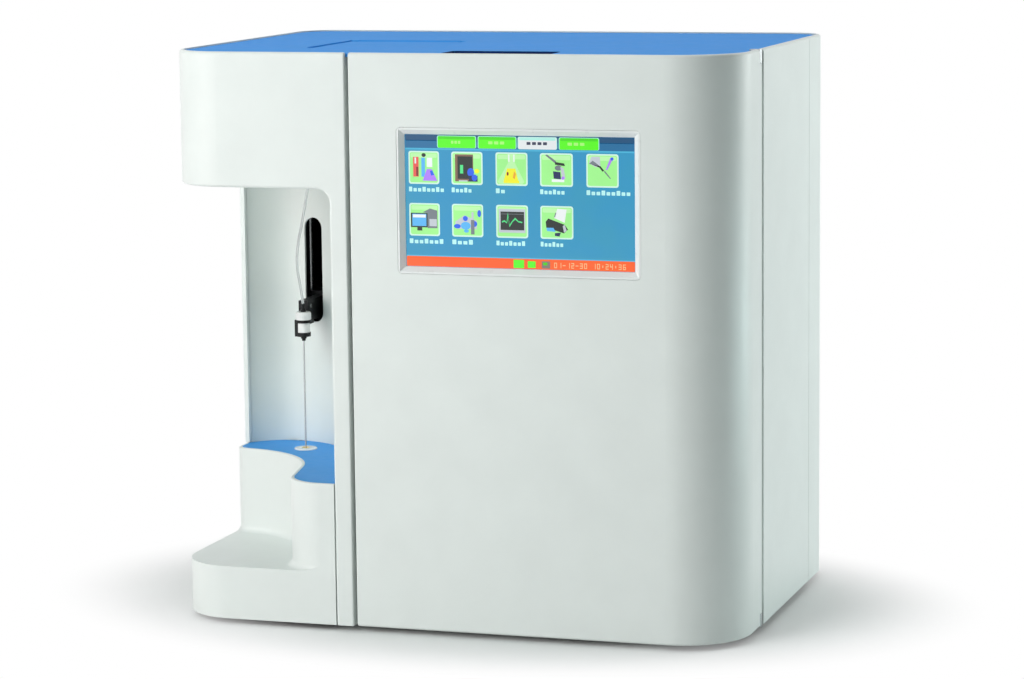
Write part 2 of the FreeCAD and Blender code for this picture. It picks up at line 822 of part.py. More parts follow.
TINY = 0.02
turned("rinse_port", needle_x, needle_y, [
    (v.port_bore, platform_top + 1.0),
    (v.port_radius - 0.6, platform_top + 1.0),
    (v.port_radius, platform_top + 0.5),
    (v.port_radius, platform_top),
    (v.port_radius - 1.5, platform_top),
    (v.port_radius - 1.5, platform_top - 24),
    (v.port_bore + 1.6, platform_top - 26),
    (v.port_bore + 1.6, platform_top - 34),
    (v.port_bore, platform_top - 34),
])

holder_z = floor + v.holder_level
needle_tip = holder_z - 2.8 - v.needle_length
turned("needle", needle_x, needle_y, [
    (TINY, needle_tip),
    (v.needle_radius, needle_tip + 1.5),
    (v.needle_radius, holder_z + 17.1),
    (1.6, holder_z + 17.1),
    (1.6, holder_z + 18.4),
    (1.0, holder_z + 19.0),
    (1.0, holder_z + 21.6),
    (TINY, holder_z + 21.6),
])
snug = v.needle_radius + 0.03
turned("needle_holder", needle_x, needle_y, [
    (snug, holder_z + 2.8),
    (v.holder_radius - 0.8, holder_z + 2.8),
    (v.holder_radius - 0.8, holder_z + 11.6),
    (v.holder_radius, holder_z + 11.6),
    (v.holder_radius, holder_z + 16.6),
    (v.holder_radius - 0.5, holder_z + 17.1),
    (snug, holder_z + 17.1),
])
# Needle arm: the black clip round the holder and the bar through the slot

clip_bore = v.holder_radius - 0.8
clip_radius = v.holder_radius + 0.1
slot_centre = needle_x - 2.2
arm_half = 3.4
carriage_front = drive_y - 12
clip_z = holder_z + 9.5
arm = cut(
    fuse(
        rod("z", needle_x, needle_y, holder_z, holder_z + 2.8, clip_radius - 0.3),
        rod("z", needle_x, needle_y, clip_z, clip_z + 2.1, clip_radius),
        block(needle_x - clip_radius, needle_x - 1.2, needle_y - 3.4, needle_y + 3.4, holder_z, clip_z + 2.1),
        block(needle_x - 2.6, needle_x + arm_half, needle_y + 1, needle_y + clip_radius + 6,
              clip_z - 1.5, clip_z + 2.1),
        rod("z", needle_x, needle_y, holder_z - 1.6, holder_z + 1, 2.0),
        rod("z", needle_x, needle_y, holder_z - 3.2, holder_z - 1, 1.3),
        block(slot_centre - arm_half, slot_centre + arm_half, needle_y + v.holder_radius + 0.4,
              carriage_front, clip_z, holder_z + 24),
    ),
    rod("z", needle_x, needle_y, holder_z + 2.8, clip_z + 10, clip_bore),
    rod("z", needle_x, needle_y, holder_z + 11.6, holder_z + 18, v.holder_radius + 0.05),
    rod("z", needle_x, needle_y, holder_z - 4, holder_z + 3.5, snug),
)
finish(arm, "needle_arm")

# Needle drive behind the curved wall

drive_x = slot_centre
rod_left = drive_x - v.rod_spacing / 2
rod_right = drive_x + v.rod_spacing / 2
drive_floor = floor + v.slot_bottom - 28
drive_ceiling = bay_top - 6
carriage_base = holder_z + 4
sheet_part = v.sheet_thickness
frame_back = drive_y + 14
finish(cut(
    fuse(
        block(drive_x - 30, drive_x + 30, frame_back, frame_back + sheet_part,
              base_top, drive_ceiling + sheet_part),
        block(drive_x - 30, drive_x + 30, drive_y - 18, frame_back + sheet_part,
              drive_floor, drive_floor + sheet_part),
        block(drive_x - 30, drive_x + 30, drive_y - 18, frame_back + sheet_part, drive_ceiling,
              drive_ceiling + sheet_part),
        block(drive_x - 30, drive_x + 30, frame_back, frame_back + 22, base_top, base_top + sheet_part),
    ),
    rod("z", drive_x, drive_y, drive_floor - 1, drive_floor + 4, v.screw_radius + 1.0),
    rod("z", drive_x, drive_y, drive_ceiling - 1, drive_ceiling + 4, v.screw_radius + v.running_clearance),
    rod("z", rod_left, drive_y, drive_floor - 1, drive_ceiling + 4, v.rod_radius),
    rod("z", rod_right, drive_y, drive_floor - 1, drive_ceiling + 4, v.rod_radius),
), "drive_frame")
finish(together(
    rod("z", rod_left, drive_y, drive_floor, drive_ceiling + sheet_part, v.rod_radius),
    rod("z", rod_right, drive_y, drive_floor, drive_ceiling + sheet_part, v.rod_radius),
), "guide_rods")
carriage_top = carriage_base + v.carriage_height
finish(cut(
    fuse(
        block(drive_x - 20, drive_x + 20, carriage_front, drive_y + 10, carriage_base, carriage_top),
        rod("z", drive_x, drive_y, carriage_base - 2.5, carriage_base, v.screw_radius + 4.5),
    ),
    rod("z", rod_left, drive_y, carriage_base - 1, carriage_top + 1, v.rod_radius + v.running_clearance),
    rod("z", rod_right, drive_y, carriage_base - 1, carriage_top + 1, v.rod_radius + v.running_clearance),
    rod("z", drive_x, drive_y, carriage_base - 4, carriage_top + 1, v.screw_radius + v.running_clearance),
), "needle_carriage")
finish(fuse(
    rod("z", drive_x, drive_y, drive_floor - 1.5, drive_ceiling + sheet_part, v.screw_radius),
    rod("z", drive_x, drive_y, drive_floor + 4, drive_floor + 16, v.screw_radius + 3.5),
), "lead_screw")
motor_half = v.stepper_size / 2
finish(cut(
    block(drive_x - motor_half, drive_x + motor_half, drive_y - motor_half - 4, drive_y + 13.5,
          drive_floor - v.stepper_height, drive_floor),
    rod("z", drive_x, drive_y, drive_floor - 1.6, drive_floor + 1, v.screw_radius + v.running_clearance),
), "needle_motor")

# Bay liner: the concave wall, its ceiling and the needle slot

liner_low = front + v.strip_lip + v.seam
wall_shell = prism(bay_face(v.liner_thickness, liner_low, left + v.wall + v.inlay_clearance),
                   platform_top, bay_top + v.wall)
wall_space = prism(bay_face(0.0, front + 1, left - 1), platform_top - 1, bay_top)
trim_width = float(v.case_width)
trim_front = float(front) - 1
front_trim = Part.makeBox(
    trim_width, float(side_seam + half_seam) - trim_front, float(v.wall) + 1,
    Vector(float(left) - 1, trim_front, float(bay_top)))
slot_low = floor + v.slot_bottom
slot_high = slot_low + v.needle_travel + v.slot_margin
slot_end = float(v.slot_width) / 2
slot_face = plate_face(slot_centre - slot_end, slot_low, slot_centre + slot_end, slot_high,
                       [slot_end - 0.01] * 4)
slot_face.rotate(Vector(), Vector(1, 0, 0), 90)
slot_face.translate(Vector(0, 40, 0))
slot_tool = slot_face.extrude(Vector(0, -60, 0))
tube_x = left + 59.3
tube_hole = Part.makeCylinder(2.0, 20, Vector(float(tube_x), float(needle_y), float(bay_top) - 5))
liner = wall_shell.cut(wall_space).cut(front_trim).cut(slot_tool).cut(tube_hole)
solid_part(liner, "bay_liner")

finish(cut(
    block(slot_centre - 14, slot_centre + 14, bay_back + 4.5, carriage_front - 1,
          drive_floor + sheet_part, drive_ceiling),
    block(slot_centre - v.slot_width / 2 - 1, slot_centre + v.slot_width / 2 + 1, bay_back, carriage_front,
          slot_low - 4, slot_high + 4),
), "slot_shroud")

# Sample tube from the holder to the bay's ceiling: straight runs joined by arcs


def bent_tube(points, radius, bore):
    """A round tube along straight runs, each corner as wide an arc as its runs allow."""
    points = [Vector(*(float(c) for c in p)) for p in points]
    edges = []
    start = points[0]
    for before, corner, after in zip(points, points[1:], points[2:]):
        inward = (corner - before).normalize()
        outward = (after - corner).normalize()
        run = min((corner - before).Length, (after - corner).Length)
        trim = 0.45 * run
        near = corner - inward * trim
        far = corner + outward * trim
        half_turn = inward.getAngle(outward) / 2
        bend = trim / math.tan(half_turn)
        middle_way = (outward - inward).normalize()
        centre = corner + middle_way * (bend / math.cos(half_turn))
        middle = centre - middle_way * bend
        edges.append(Part.LineSegment(start, near).toShape())
        edges.append(Part.Arc(near, middle, far).toShape())
        start = far
    edges.append(Part.LineSegment(start, points[-1]).toShape())
    path = Part.Wire(edges)
    direction = edges[0].tangentAt(edges[0].FirstParameter)
    section = Part.Wire(Part.Circle(points[0], direction, float(radius)).toShape())
    solid = path.makePipeShell([section], True, False)
    if float(bore) > 0:
        inner = Part.Wire(Part.Circle(points[0], direction, float(bore)).toShape())
        solid = solid.cut(path.makePipeShell([inner], True, False))
    return solid


TUBE_START_Z = holder_z + 21.9
sample_tube_points = [
    (needle_x, needle_y, TUBE_START_Z),
    (needle_x - 1.0, needle_y - 1.0, TUBE_START_Z + 12),
    (needle_x - 3.5, needle_y - 2.0, TUBE_START_Z + 26),
    (needle_x - 2.5, needle_y - 2.0, TUBE_START_Z + 42),
    (needle_x + 1.0, needle_y - 1.0, TUBE_START_Z + 58),
    (tube_x - 3.5, needle_y - 0.3, bay_top - 12),
    (tube_x, needle_y, bay_top + 6),
]
SAMPLE_TUBE_RADIUS = 1.0
solid_part(bent_tube(sample_tube_points, SAMPLE_TUBE_RADIUS, 0), "sample_tube")

# Door: front wall, rounded corner, side return and the round hinge bead

door = Moulding("door")
door.pad("xy", floor, top, lambda s: rectangle(s, door_left, front, right, hinge_y))
door.fillet(v.front_right_radius, straight_along("z", x=right, y=front))
door.pocket("xy", floor + v.wall, top + 1,
            lambda s: plan_inside(s, v.wall, x0=door_left + v.wall, y1=hinge_y + 1))
corner_start = right - v.front_right_radius
door.pocket("xy", floor - 1, floor + v.wall,
            lambda s: rectangle(s, door_left + v.wall, front + v.door_lip, corner_start, hinge_y + 1))
door.pocket("xy", floor - 1, floor + v.wall, lambda s: rounded(
    s, corner_start - 1, front + v.wall, right - v.wall, hinge_y + 1,
    [0, v.front_right_radius - v.wall, 0, 0]))
door.pocket("xy", floor - 1, top + 1,
            lambda s: rectangle(s, door_left - 1, front + v.door_lip, door_left + v.wall + 1, hinge_y + 1))
bead_low = floor + v.knuckle_height
bead_high = top - v.knuckle_height
door.pad("xy", bead_low, bead_high, lambda s: circle(s, hinge_x, hinge_y, v.bead_radius))
knuckle_clear = v.bead_radius + 0.4
for low, high in ((floor - 1, bead_low), (bead_high, top + 1)):
    door.pocket("xy", low, high, lambda s: rectangle(
        s, hinge_x - knuckle_clear, hinge_y - knuckle_clear, right + 1, hinge_y + knuckle_clear))
door.pocket("xy", floor, top, lambda s: circle(s, hinge_x, hinge_y, v.hinge_pin_radius + v.running_clearance))
free_width = corner_start - door_left - v.screen_width - v.bezel_border * 2
screen_left = door_left + free_width * SCREEN_SHARE + v.bezel_border
screen_right = screen_left + v.screen_width
screen_high = top - v.screen_drop
screen_low = screen_high - v.screen_height
window = v.bezel_border + 0.2
door.pocket("xz", front - 1, front + v.wall + 1, lambda s: rectangle(
    s, screen_left - window, screen_low - window, screen_right + window, screen_high + window))
door.fillet(3.0, lambda e: any(straight_along("y", x=a, z=b)(e)
                               for a in (screen_left - window, screen_right + window)
                               for b in (screen_low - window, screen_high + window)))
door.pocket("xy", ledge_base - 1, top + 1, lambda s: rectangle(
    s, door_left - 1, front + v.wall, door_left + v.wall + 1, front + v.door_lip + 1))
flange_z = panel_seat - v.grip_drop - 8
catch_z = floor + v.case_height / 2
door.pad("xy", catch_z - 12, catch_z + 12, lambda s: rectangle(
    s, door_left + v.wall - 0.5, front + v.door_lip - 2, door_left + v.wall + 6, front + v.door_lip))
door.pad("xy", flange_z, flange_z + v.wall, lambda s: rectangle(
    s, door_left + v.wall - 0.5, front + v.wall - 0.5, right - v.front_right_radius, front + v.door_lip))
door.fillet(v.edge_radius, on_outline(top))
door.fillet(v.edge_radius, on_outline(floor))
door.fillet(v.edge_radius / 2, straight_along("z", x=door_left, y=front))

# Hinge knuckles and pins

arm_back = right_side_front + 18
for name, low, high, pin_low, pin_high, arm_low, arm_high in (
        ("lower", floor, bead_low - 0.3, floor + 2, bead_low + 14, base_top, base_top + 3),
        ("upper", bead_high + 0.3, top, bead_high - 14, top - 2, bead_high + 0.3, ledge_base)):
    finish(fuse(
        rod("z", hinge_x, hinge_y, low, high, v.bead_radius),
        rod("z", hinge_x, hinge_y, pin_low, pin_high, v.hinge_pin_radius),
        block(hinge_x - v.bead_radius, hinge_x + 0.8, hinge_y, arm_back, arm_low, arm_high),
        block(hinge_x - 16, hinge_x + 0.8, right_side_front + 4, arm_back, arm_low, arm_high),
    ), f"hinge_bracket_{name}")

# Screen: bezel, glass, display module, its carrier and screws

glass_front = front + v.wall + 1
bezel = Moulding("screen_bezel")
bezel.pad("xz", front + v.bezel_recess, glass_front, lambda s: rectangle(
    s, screen_left - v.bezel_border, screen_low - v.bezel_border,
    screen_right + v.bezel_border, screen_high + v.bezel_border))
bezel.fillet(2.8, lambda e: straight_along("y")(e))
bezel.pocket("xz", front - 1, glass_front + 1, lambda s: rectangle(
    s, screen_left, screen_low, screen_right, screen_high))
bezel_front = float(front + v.bezel_recess)
bezel.chamfer(v.bezel_bevel, lambda e: abs(e.BoundBox.YMin - bezel_front) < 0.01
              and abs(e.BoundBox.YMax - bezel_front) < 0.01
              and e.BoundBox.XMin > float(screen_left) - 0.1 and e.BoundBox.XMax < float(screen_right) + 0.1
              and e.BoundBox.ZMin > float(screen_low) - 0.1 and e.BoundBox.ZMax < float(screen_high) + 0.1)
glass_back = glass_front + v.glass_thickness
module_back = glass_back + v.module_depth
finish(block(screen_left - 3, screen_right + 3, glass_front, glass_back, screen_low - 3, screen_high + 3),
       "touch_glass")
finish(fuse(
    block(screen_left - 3, screen_right + 3, glass_back, module_back, screen_low - 3, screen_high + 3),
    block(screen_left + 8, screen_right - 8, module_back, module_back + 1.6, screen_low + 6, screen_high - 6),
    block(screen_left + 30, screen_left + 62, module_back + 1.6, module_back + 5,
          screen_low + 22, screen_low + 44),
), "display_module")
carrier_side = free_width * CARRIER_SHARE
carrier = cut(
    block(screen_left - carrier_side, screen_right + carrier_side, front + v.wall, module_back + 1.5,
          screen_low - v.carrier_border, screen_high + v.carrier_border),
    block(screen_left - window, screen_right + window, front, module_back + 3, screen_low - window,
          screen_high + window),
)
finish(carrier, "screen_carrier")

# Top panel with the printer opening and the finger recess

lid_left = left + v.lid_inset
lid_right = lid_left + v.lid_width
lid_back = lid_front + v.lid_length
lid_gap = v.panel_gap / 2
grip_left = left + v.grip_inset
grip_right = grip_left + v.grip_width
grip_front = front + rim + 7
grip_back = grip_front + v.grip_depth
lid_axis_y = lid_back - v.lid_bead_radius
lid_axis_z = panel_top - v.lid_bead_radius
lid_top = panel_top - v.lid_drop

panel = Moulding("top_panel")
panel.pad("xy", panel_seat, panel_top, lambda s: rectangle(
    s, left + rim, front + rim, right - rim, back - rim))
panel.fillet(v.front_left_radius - rim, straight_along("z", x=left + rim, y=front + rim))
panel.fillet(v.front_right_radius - rim, straight_along("z", x=right - rim, y=front + rim))
panel.fillet(v.back_radius - rim, straight_along("z", y=back - rim))
panel.pocket("xy", panel_seat - 1, panel_top + 1, lambda s: rounded(
    s, lid_left - lid_gap, lid_front - lid_gap, lid_right + lid_gap, lid_back + lid_gap,
    [v.lid_corner + lid_gap, v.lid_corner + lid_gap, 0, 0]))
grip_wall = 1.6
panel.pad("xy", panel_seat - v.grip_drop, panel_seat, lambda s: rectangle(
    s, grip_left - grip_wall, grip_front - grip_wall, grip_right + grip_wall, grip_back + grip_wall))
panel.pocket("xy", panel_seat - v.grip_drop + grip_wall, panel_top + 1, lambda s: rounded(
    s, grip_left, grip_front, grip_right, grip_back, [3, 3, 6, 6]))
panel.pocket("xy", panel_seat - 1, panel_top + 1, lambda s: circle(
    s, hinge_x, hinge_y, v.bead_radius + 0.5))
lug_inner = v.lid_lug
for low, high in ((lid_left - 4, lid_left + lug_inner), (lid_right - lug_inner, lid_right + 4)):
    panel.pad("yz", low, high, lambda s: circle(s, lid_axis_y, lid_axis_z, v.lid_bead_radius))
    panel.pad("yz", low, high, lambda s: rectangle(
        s, lid_axis_y, panel_seat, lid_back + 1.5, panel_top))
panel.pocket("yz", lid_left - 5, lid_right + 5, lambda s: circle(
    s, lid_axis_y, lid_axis_z, v.lid_pin_radius))

lid = Moulding("printer_lid")
lid.pad("xy", panel_seat, lid_top, lambda s: rounded(
    s, lid_left, lid_front, lid_right, lid_axis_y, [v.lid_corner, v.lid_corner, 0, 0]))
lid.pocket("xy", panel_seat - 1, panel_top + 1, lambda s: rectangle(
    s, lid_left - 1, lid_axis_y - 3, lid_left + lug_inner + 0.4, lid_axis_y + 1))
lid.pocket("xy", panel_seat - 1, panel_top + 1, lambda s: rectangle(
    s, lid_right - lug_inner - 0.4, lid_axis_y - 3, lid_right + 1, lid_axis_y + 1))
lid.pad("yz", lid_left + lug_inner + 0.4, lid_right - lug_inner - 0.4, lambda s: circle(
    s, lid_axis_y, lid_axis_z, v.lid_bead_radius))
lid.pocket("yz", lid_left, lid_right, lambda s: circle(
    s, lid_axis_y, lid_axis_z, v.lid_pin_radius + v.running_clearance))
platen_y = lid_front + 12
platen_z = panel_seat - v.platen_radius - 1.5
platen_half = v.paper_width / 2 + 1
lid_middle = (lid_left + lid_right) / 2
for side in (-1, 1):
    inner = lid_middle + platen_half * side + 0.5 * side
    outer = inner + 3.0 * side
    low, high = (inner, outer) if side > 0 else (outer, inner)
    lid.pad("yz", low, high, lambda s: rectangle(s, platen_y - 4, platen_z - 4, platen_y + 8, panel_seat))
    lid.pocket("yz", low - 0.5, high + 0.5, lambda s: circle(
        s, platen_y, platen_z, 2.0 + v.running_clearance))
lid.pocket("xy", lid_top - v.lid_grip_depth, panel_top + 1, lambda s: rounded(
    s, lid_middle - 13, lid_front + 3, lid_middle + 13, lid_front + 11, [3, 3, 3, 3]))
finish(rod("x", lid_axis_y, lid_axis_z, lid_left - 3.5, lid_right + 3.5, v.lid_pin_radius), "lid_hinge_pin")
finish(fuse(
    rod("x", platen_y, platen_z, lid_middle - platen_half, lid_middle + platen_half, v.platen_radius),
    rod("x", platen_y, platen_z, lid_middle - platen_half - 6, lid_middle + platen_half + 6, 2.0),
), "platen_roller")

# Printer bucket, paper roll, and the mechanism with its tear bar

bucket_top = panel_seat
bucket_left = lid_left + 1
bucket_right = lid_right - 1
mechanism_top = platen_z - v.platen_radius - 0.3
bucket = Moulding("printer_bucket")
bucket.pad("xy", bucket_low, bucket_top, lambda s: rectangle(
    s, bucket_left - v.bucket_wall, lid_front - 2, bucket_right + v.bucket_wall, lid_back - 6))
bucket.pocket("xy", bucket_low + v.bucket_wall, bucket_top + 1, lambda s: rectangle(
    s, bucket_left, lid_front - 2 + v.bucket_wall, bucket_right, lid_back - 6 - v.bucket_wall))
bucket.pad("xy", bucket_top - v.bucket_wall, bucket_top, lambda s: rectangle(
    s, bucket_left - 10, lid_front - 2, bucket_left - v.bucket_wall + 0.5, lid_back - 6))
bucket.pad("xy", bucket_top - v.bucket_wall, bucket_top, lambda s: rectangle(
    s, bucket_right + v.bucket_wall - 0.5, lid_front - 2, bucket_right + 10, lid_back - 6))
roll_y = lid_back - 6 - v.bucket_wall - v.paper_roll_radius - 8
roll_z = bucket_low + v.bucket_wall + v.paper_roll_radius
finish(cut(
    rod("x", roll_y, roll_z, lid_middle - v.paper_width / 2, lid_middle + v.paper_width / 2,
        v.paper_roll_radius),
    rod("x", roll_y, roll_z, lid_middle - v.paper_width, lid_middle + v.paper_width, 6.0),
), "paper_roll")
mechanism_back = platen_y + 12
finish(fuse(
    block(lid_middle - platen_half - 8, lid_middle + platen_half + 8, lid_front + v.bucket_wall - 2,
          mechanism_back, bucket_low + v.bucket_wall, mechanism_top),
    block(lid_middle - platen_half - 3, lid_middle + platen_half + 3, lid_front + v.bucket_wall - 2,
          lid_front + v.bucket_wall + 0.6, mechanism_top, panel_seat - 0.5),
), "printer_mechanism")

# Sheet-metal chassis

base = Moulding("base_plate")
plate_left = left + v.wall + v.seam
plate_right = right - v.wall - v.seam
plate_front = front + v.door_lip + 2
base.pad("xy", base_bottom, base_top, lambda s: polygon(s, [
    (strip_right + 1, plate_front),
    (right - v.front_right_radius, plate_front),
    (right - v.front_right_radius, bulkhead_front),
    (plate_right - 16, right_side_front + 1),
    (plate_right, right_side_front + 1),
    (plate_right, back - v.back_radius),
    (plate_right - v.back_radius, back - v.wall - v.seam),
    (plate_left + v.back_radius, back - v.wall - v.seam),
    (plate_left, back - v.back_radius),
    (plate_left, bay_back + 1),
    (strip_right + 1, bay_back + 1),
]))

bulkhead_left = strip_right + 1
bulkhead_right = right - v.wall - 18
bulkhead_top = top - v.bulkhead_drop
pump_x = v.case_width / 2 - 72
pump_z = floor + 168
bulkhead = Moulding("bulkhead")
bulkhead.pad("xz", bulkhead_front, bulkhead_back, lambda s: rectangle(
    s, bulkhead_left, base_top, bulkhead_right, bulkhead_top))
bulkhead.pad("xy", base_top, base_top + v.sheet_thickness, lambda s: rectangle(
    s, bulkhead_left, bulkhead_front, bulkhead_right, bulkhead_back + 14))
bulkhead.pocket("xz", bulkhead_front - 1, bulkhead_back + 1, lambda s: circle(s, pump_x, pump_z, 9))
bulkhead.pocket("xz", bulkhead_front - 1, bulkhead_back + 1, lambda s: rectangle(
    s, bulkhead_left + 14, floor + 190, bulkhead_left + 34, floor + 204))

bulkhead.pocket("xz", bulkhead_front - 1, bulkhead_back + 1, lambda s: rectangle(
    s, bulkhead_left - 1, bucket_low - 2, lid_right + v.bucket_wall + 12, bulkhead_top + 1))
board_y = bulkhead_back + 24
board_left = bulkhead_left + 60
board_right = bulkhead_right - 60
for x in (board_left + 6, board_right - 6):
    for z in (floor + 46, floor + 144):
        bulkhead.pad("xz", bulkhead_back, board_y, lambda s: circle(s, x, z, 3.0))

feet = []
for x, y, seat in ((left + 34, front + 34, floor), (right - 70, front + 34, base_bottom),
                   (left + 34, back - 34, base_bottom), (right - 34, back - 34, base_bottom)):
    feet.append(rod("z", x, y, 0, seat, v.foot_radius))
finish(together(*feet), "rubber_feet")

# Electrodes in their holder

bank_left = door_left + 12
bank_low = floor + 205
bank_front = bulkhead_front - v.electrode_depth - 6
bank_pitch = v.electrode_width + v.electrode_gap
bank_right = bank_left + bank_pitch * (ELECTRODES + 1)
lock_z = bank_low + v.electrode_height / 2
lock_y = bank_front + v.electrode_depth / 2
finish(cut(fuse(
    block(bank_left - 8, bank_right + 22, bank_front - 2, bulkhead_front, bank_low - 5, bank_low),
    block(bank_left - 8, bank_left - 0.3, bank_front - 2, bulkhead_front, bank_low - 5,
          bank_low + v.electrode_height + 6),
    block(bank_right + 14, bank_right + 22, bank_front - 2, bulkhead_front, bank_low - 5,
          bank_low + v.electrode_height + 6),
    block(bank_left - 8, bank_right + 22, bulkhead_front - 4, bulkhead_front, bank_low - 5,
          bank_low + v.electrode_height + 6),
), rod("x", lock_y, lock_z, bank_right + 12, bank_right + 24, v.lock_radius + v.running_clearance)),
       "electrode_holder")
like_electrodes = []
for number in range(ELECTRODES + 1):
    x0 = bank_left + bank_pitch * number
    x1 = x0 + v.electrode_width
    middle = (x0 + x1) / 2
    electrode_back = bank_front + v.electrode_depth
    electrode = fuse(
        block(x0, x1, bank_front, electrode_back, bank_low, bank_low + v.electrode_height),
        rod("z", middle, (bank_front + electrode_back) / 2, bank_low + v.electrode_height,
            bank_low + v.electrode_height + 7, 4.2),
        rod("z", middle, (bank_front + electrode_back) / 2, bank_low + v.electrode_height + 7,
            bank_low + v.electrode_height + 11, 1.2),
    )
    if number == ELECTRODES:
        finish(electrode, "reference_electrode")
    else:
        like_electrodes.append(electrode)
finish(together(*like_electrodes), "electrodes")
finish(cut(
    block(bank_right + 0.2, bank_right + 6, bank_front, bank_front + v.electrode_depth,
          bank_low + 0.3, bank_low + v.electrode_height),
    rod("x", lock_y, lock_z, bank_right + 2, bank_right + 8, v.lock_radius + v.running_clearance),
), "electrode_pusher")
lock_wall = bank_right + 14
finish(fuse(
    rod("x", lock_y, lock_z, bank_right + 2.3, lock_wall + 14, v.lock_radius),
    rod("x", lock_y, lock_z, lock_wall + 8.3, lock_wall + 16, 9.0),
    block(lock_wall + 10, lock_wall + 15, lock_y - 2.5, lock_y + 2.5, lock_z, lock_z + 16),
), "electrode_lock")

# Peristaltic pump

pump_half = v.pump_size / 2
pump_front = bulkhead_front - 26
race_back = bulkhead_front - 5
finish(cut(
    block(pump_x - pump_half, pump_x + pump_half, pump_front, bulkhead_front, pump_z - pump_half,
          pump_z + pump_half),
    rod("y", pump_x, pump_z, pump_front - 1, race_back, v.raceway_radius),
    rod("y", pump_x, pump_z, race_back - 1, bulkhead_front + 1, v.pump_shaft_radius + 1.5),
    block(pump_x - v.raceway_radius, pump_x + v.raceway_radius, pump_front - 1, race_back,
          pump_z - pump_half - 1, pump_z),
), "pump_housing")
tube_run = v.raceway_radius - v.tube_radius - 0.3
roller_orbit = tube_run - v.tube_radius - v.roller_radius - 0.3
disc_radius = roller_orbit + 3.2
disc = 2.5
front_disc = pump_front + 1
back_disc = race_back - 1 - disc
pins = []
for number in range(ROLLERS):
    angle = math.radians(90 + 360 * number / ROLLERS)
    cx = pump_x + roller_orbit * math.cos(angle)
    cz = pump_z + roller_orbit * math.sin(angle)
    pins.append(rod("y", cx, cz, front_disc, back_disc + disc, v.roller_pin_radius))
    finish(cut(
        rod("y", cx, cz, front_disc + disc + 0.3, back_disc - 0.3, v.roller_radius),
        rod("y", cx, cz, front_disc, back_disc + disc, v.roller_pin_radius + v.running_clearance),
    ), f"pump_roller_{number + 1}")
finish(fuse(
    rod("y", pump_x, pump_z, front_disc, front_disc + disc, disc_radius),
    rod("y", pump_x, pump_z, back_disc, back_disc + disc, disc_radius),
    rod("y", pump_x, pump_z, front_disc - 4, bulkhead_back + 10, v.pump_shaft_radius),
    rod("y", pump_x, pump_z, front_disc - 4, front_disc, 7.0),
    *pins,
), "pump_rotor")
finish(cut(
    rod("y", pump_x, pump_z, bulkhead_back, bulkhead_back + 44, 18.0),
    rod("y", pump_x, pump_z, bulkhead_back - 1, bulkhead_back + 11,
        v.pump_shaft_radius + v.running_clearance),
), "pump_motor")
tube_y = (pump_front + race_back) / 2
leg = float(pump_half) + 20
left_top = Vector(float(pump_x) - float(tube_run), float(tube_y), float(pump_z))
right_top = Vector(float(pump_x) + float(tube_run), float(tube_y), float(pump_z))
crown = Vector(float(pump_x), float(tube_y), float(pump_z) + float(tube_run))
loop_path = Part.Wire([
    Part.LineSegment(left_top - Vector(0, 0, leg), left_top).toShape(),
    Part.Arc(left_top, crown, right_top).toShape(),
    Part.LineSegment(right_top, right_top - Vector(0, 0, leg)).toShape(),
])
loop_ring = Part.Circle(left_top - Vector(0, 0, leg), Vector(0, 0, 1), float(v.tube_radius))
loop_section = Part.Wire(loop_ring.toShape())
solid_part(loop_path.makePipeShell([loop_section], True, False), "pump_tube")

# Pinch valves

for number, valve_x in enumerate((pump_x - v.valve_offset, pump_x + v.valve_offset), start=1):
    valve_z = pump_z - pump_half - 40
    valve_front = bulkhead_front - 30
    finish(cut(
        fuse(
            rod("y", valve_x, valve_z, valve_front, bulkhead_front, v.valve_radius),
            block(valve_x - 8, valve_x + 8, valve_front - 12, valve_front, valve_z - 9, valve_z - 6),
            block(valve_x - 8, valve_x + 8, valve_front - 12, valve_front, valve_z + 6, valve_z + 9),
            block(valve_x - 8, valve_x + 8, valve_front - 14, valve_front - 12, valve_z - 9, valve_z + 9),
        ),
        rod("y", valve_x, valve_z, valve_front - 1, valve_front + 16, 2.5 + v.running_clearance),
    ), f"valve_{number}")
    finish(fuse(
        rod("y", valve_x, valve_z, valve_front - 5, valve_front + 13, 2.5),
        block(valve_x - 5, valve_x + 5, valve_front - 6.5, valve_front - 4, valve_z - 2, valve_z + 2),
    ), f"valve_plunger_{number}")

# Reagent pack on the compartment floor

pack_left = door_left + 14
pack_right = pump_x - v.valve_offset - v.valve_radius - v.pack_gap
pack_back = bulkhead_front - 2
pack = Moulding("reagent_pack")
pack.pad("xy", base_top, base_top + v.pack_height, lambda s: rectangle(
    s, pack_left, pack_back - v.pack_depth, pack_right, pack_back))
pack.fillet(3.0, straight_along("z"))

# Main board, power supply and connectors at the back

finish(fuse(
    block(board_left, board_right, board_y, board_y + 1.6, floor + 40, floor + 150),
    block(board_left + 12, board_left + 40, board_y + 1.6, board_y + 6, floor + 90, floor + 118),
    block(board_left + 60, board_left + 74, board_y + 1.6, board_y + 14, floor + 52, floor + 92),
), "main_board")
finish(block(right - 110, right - 24, back - 110, back - 40, base_top, base_top + 42), "power_supply")

# Rear fittings: mains inlet, rocker switch and data ports

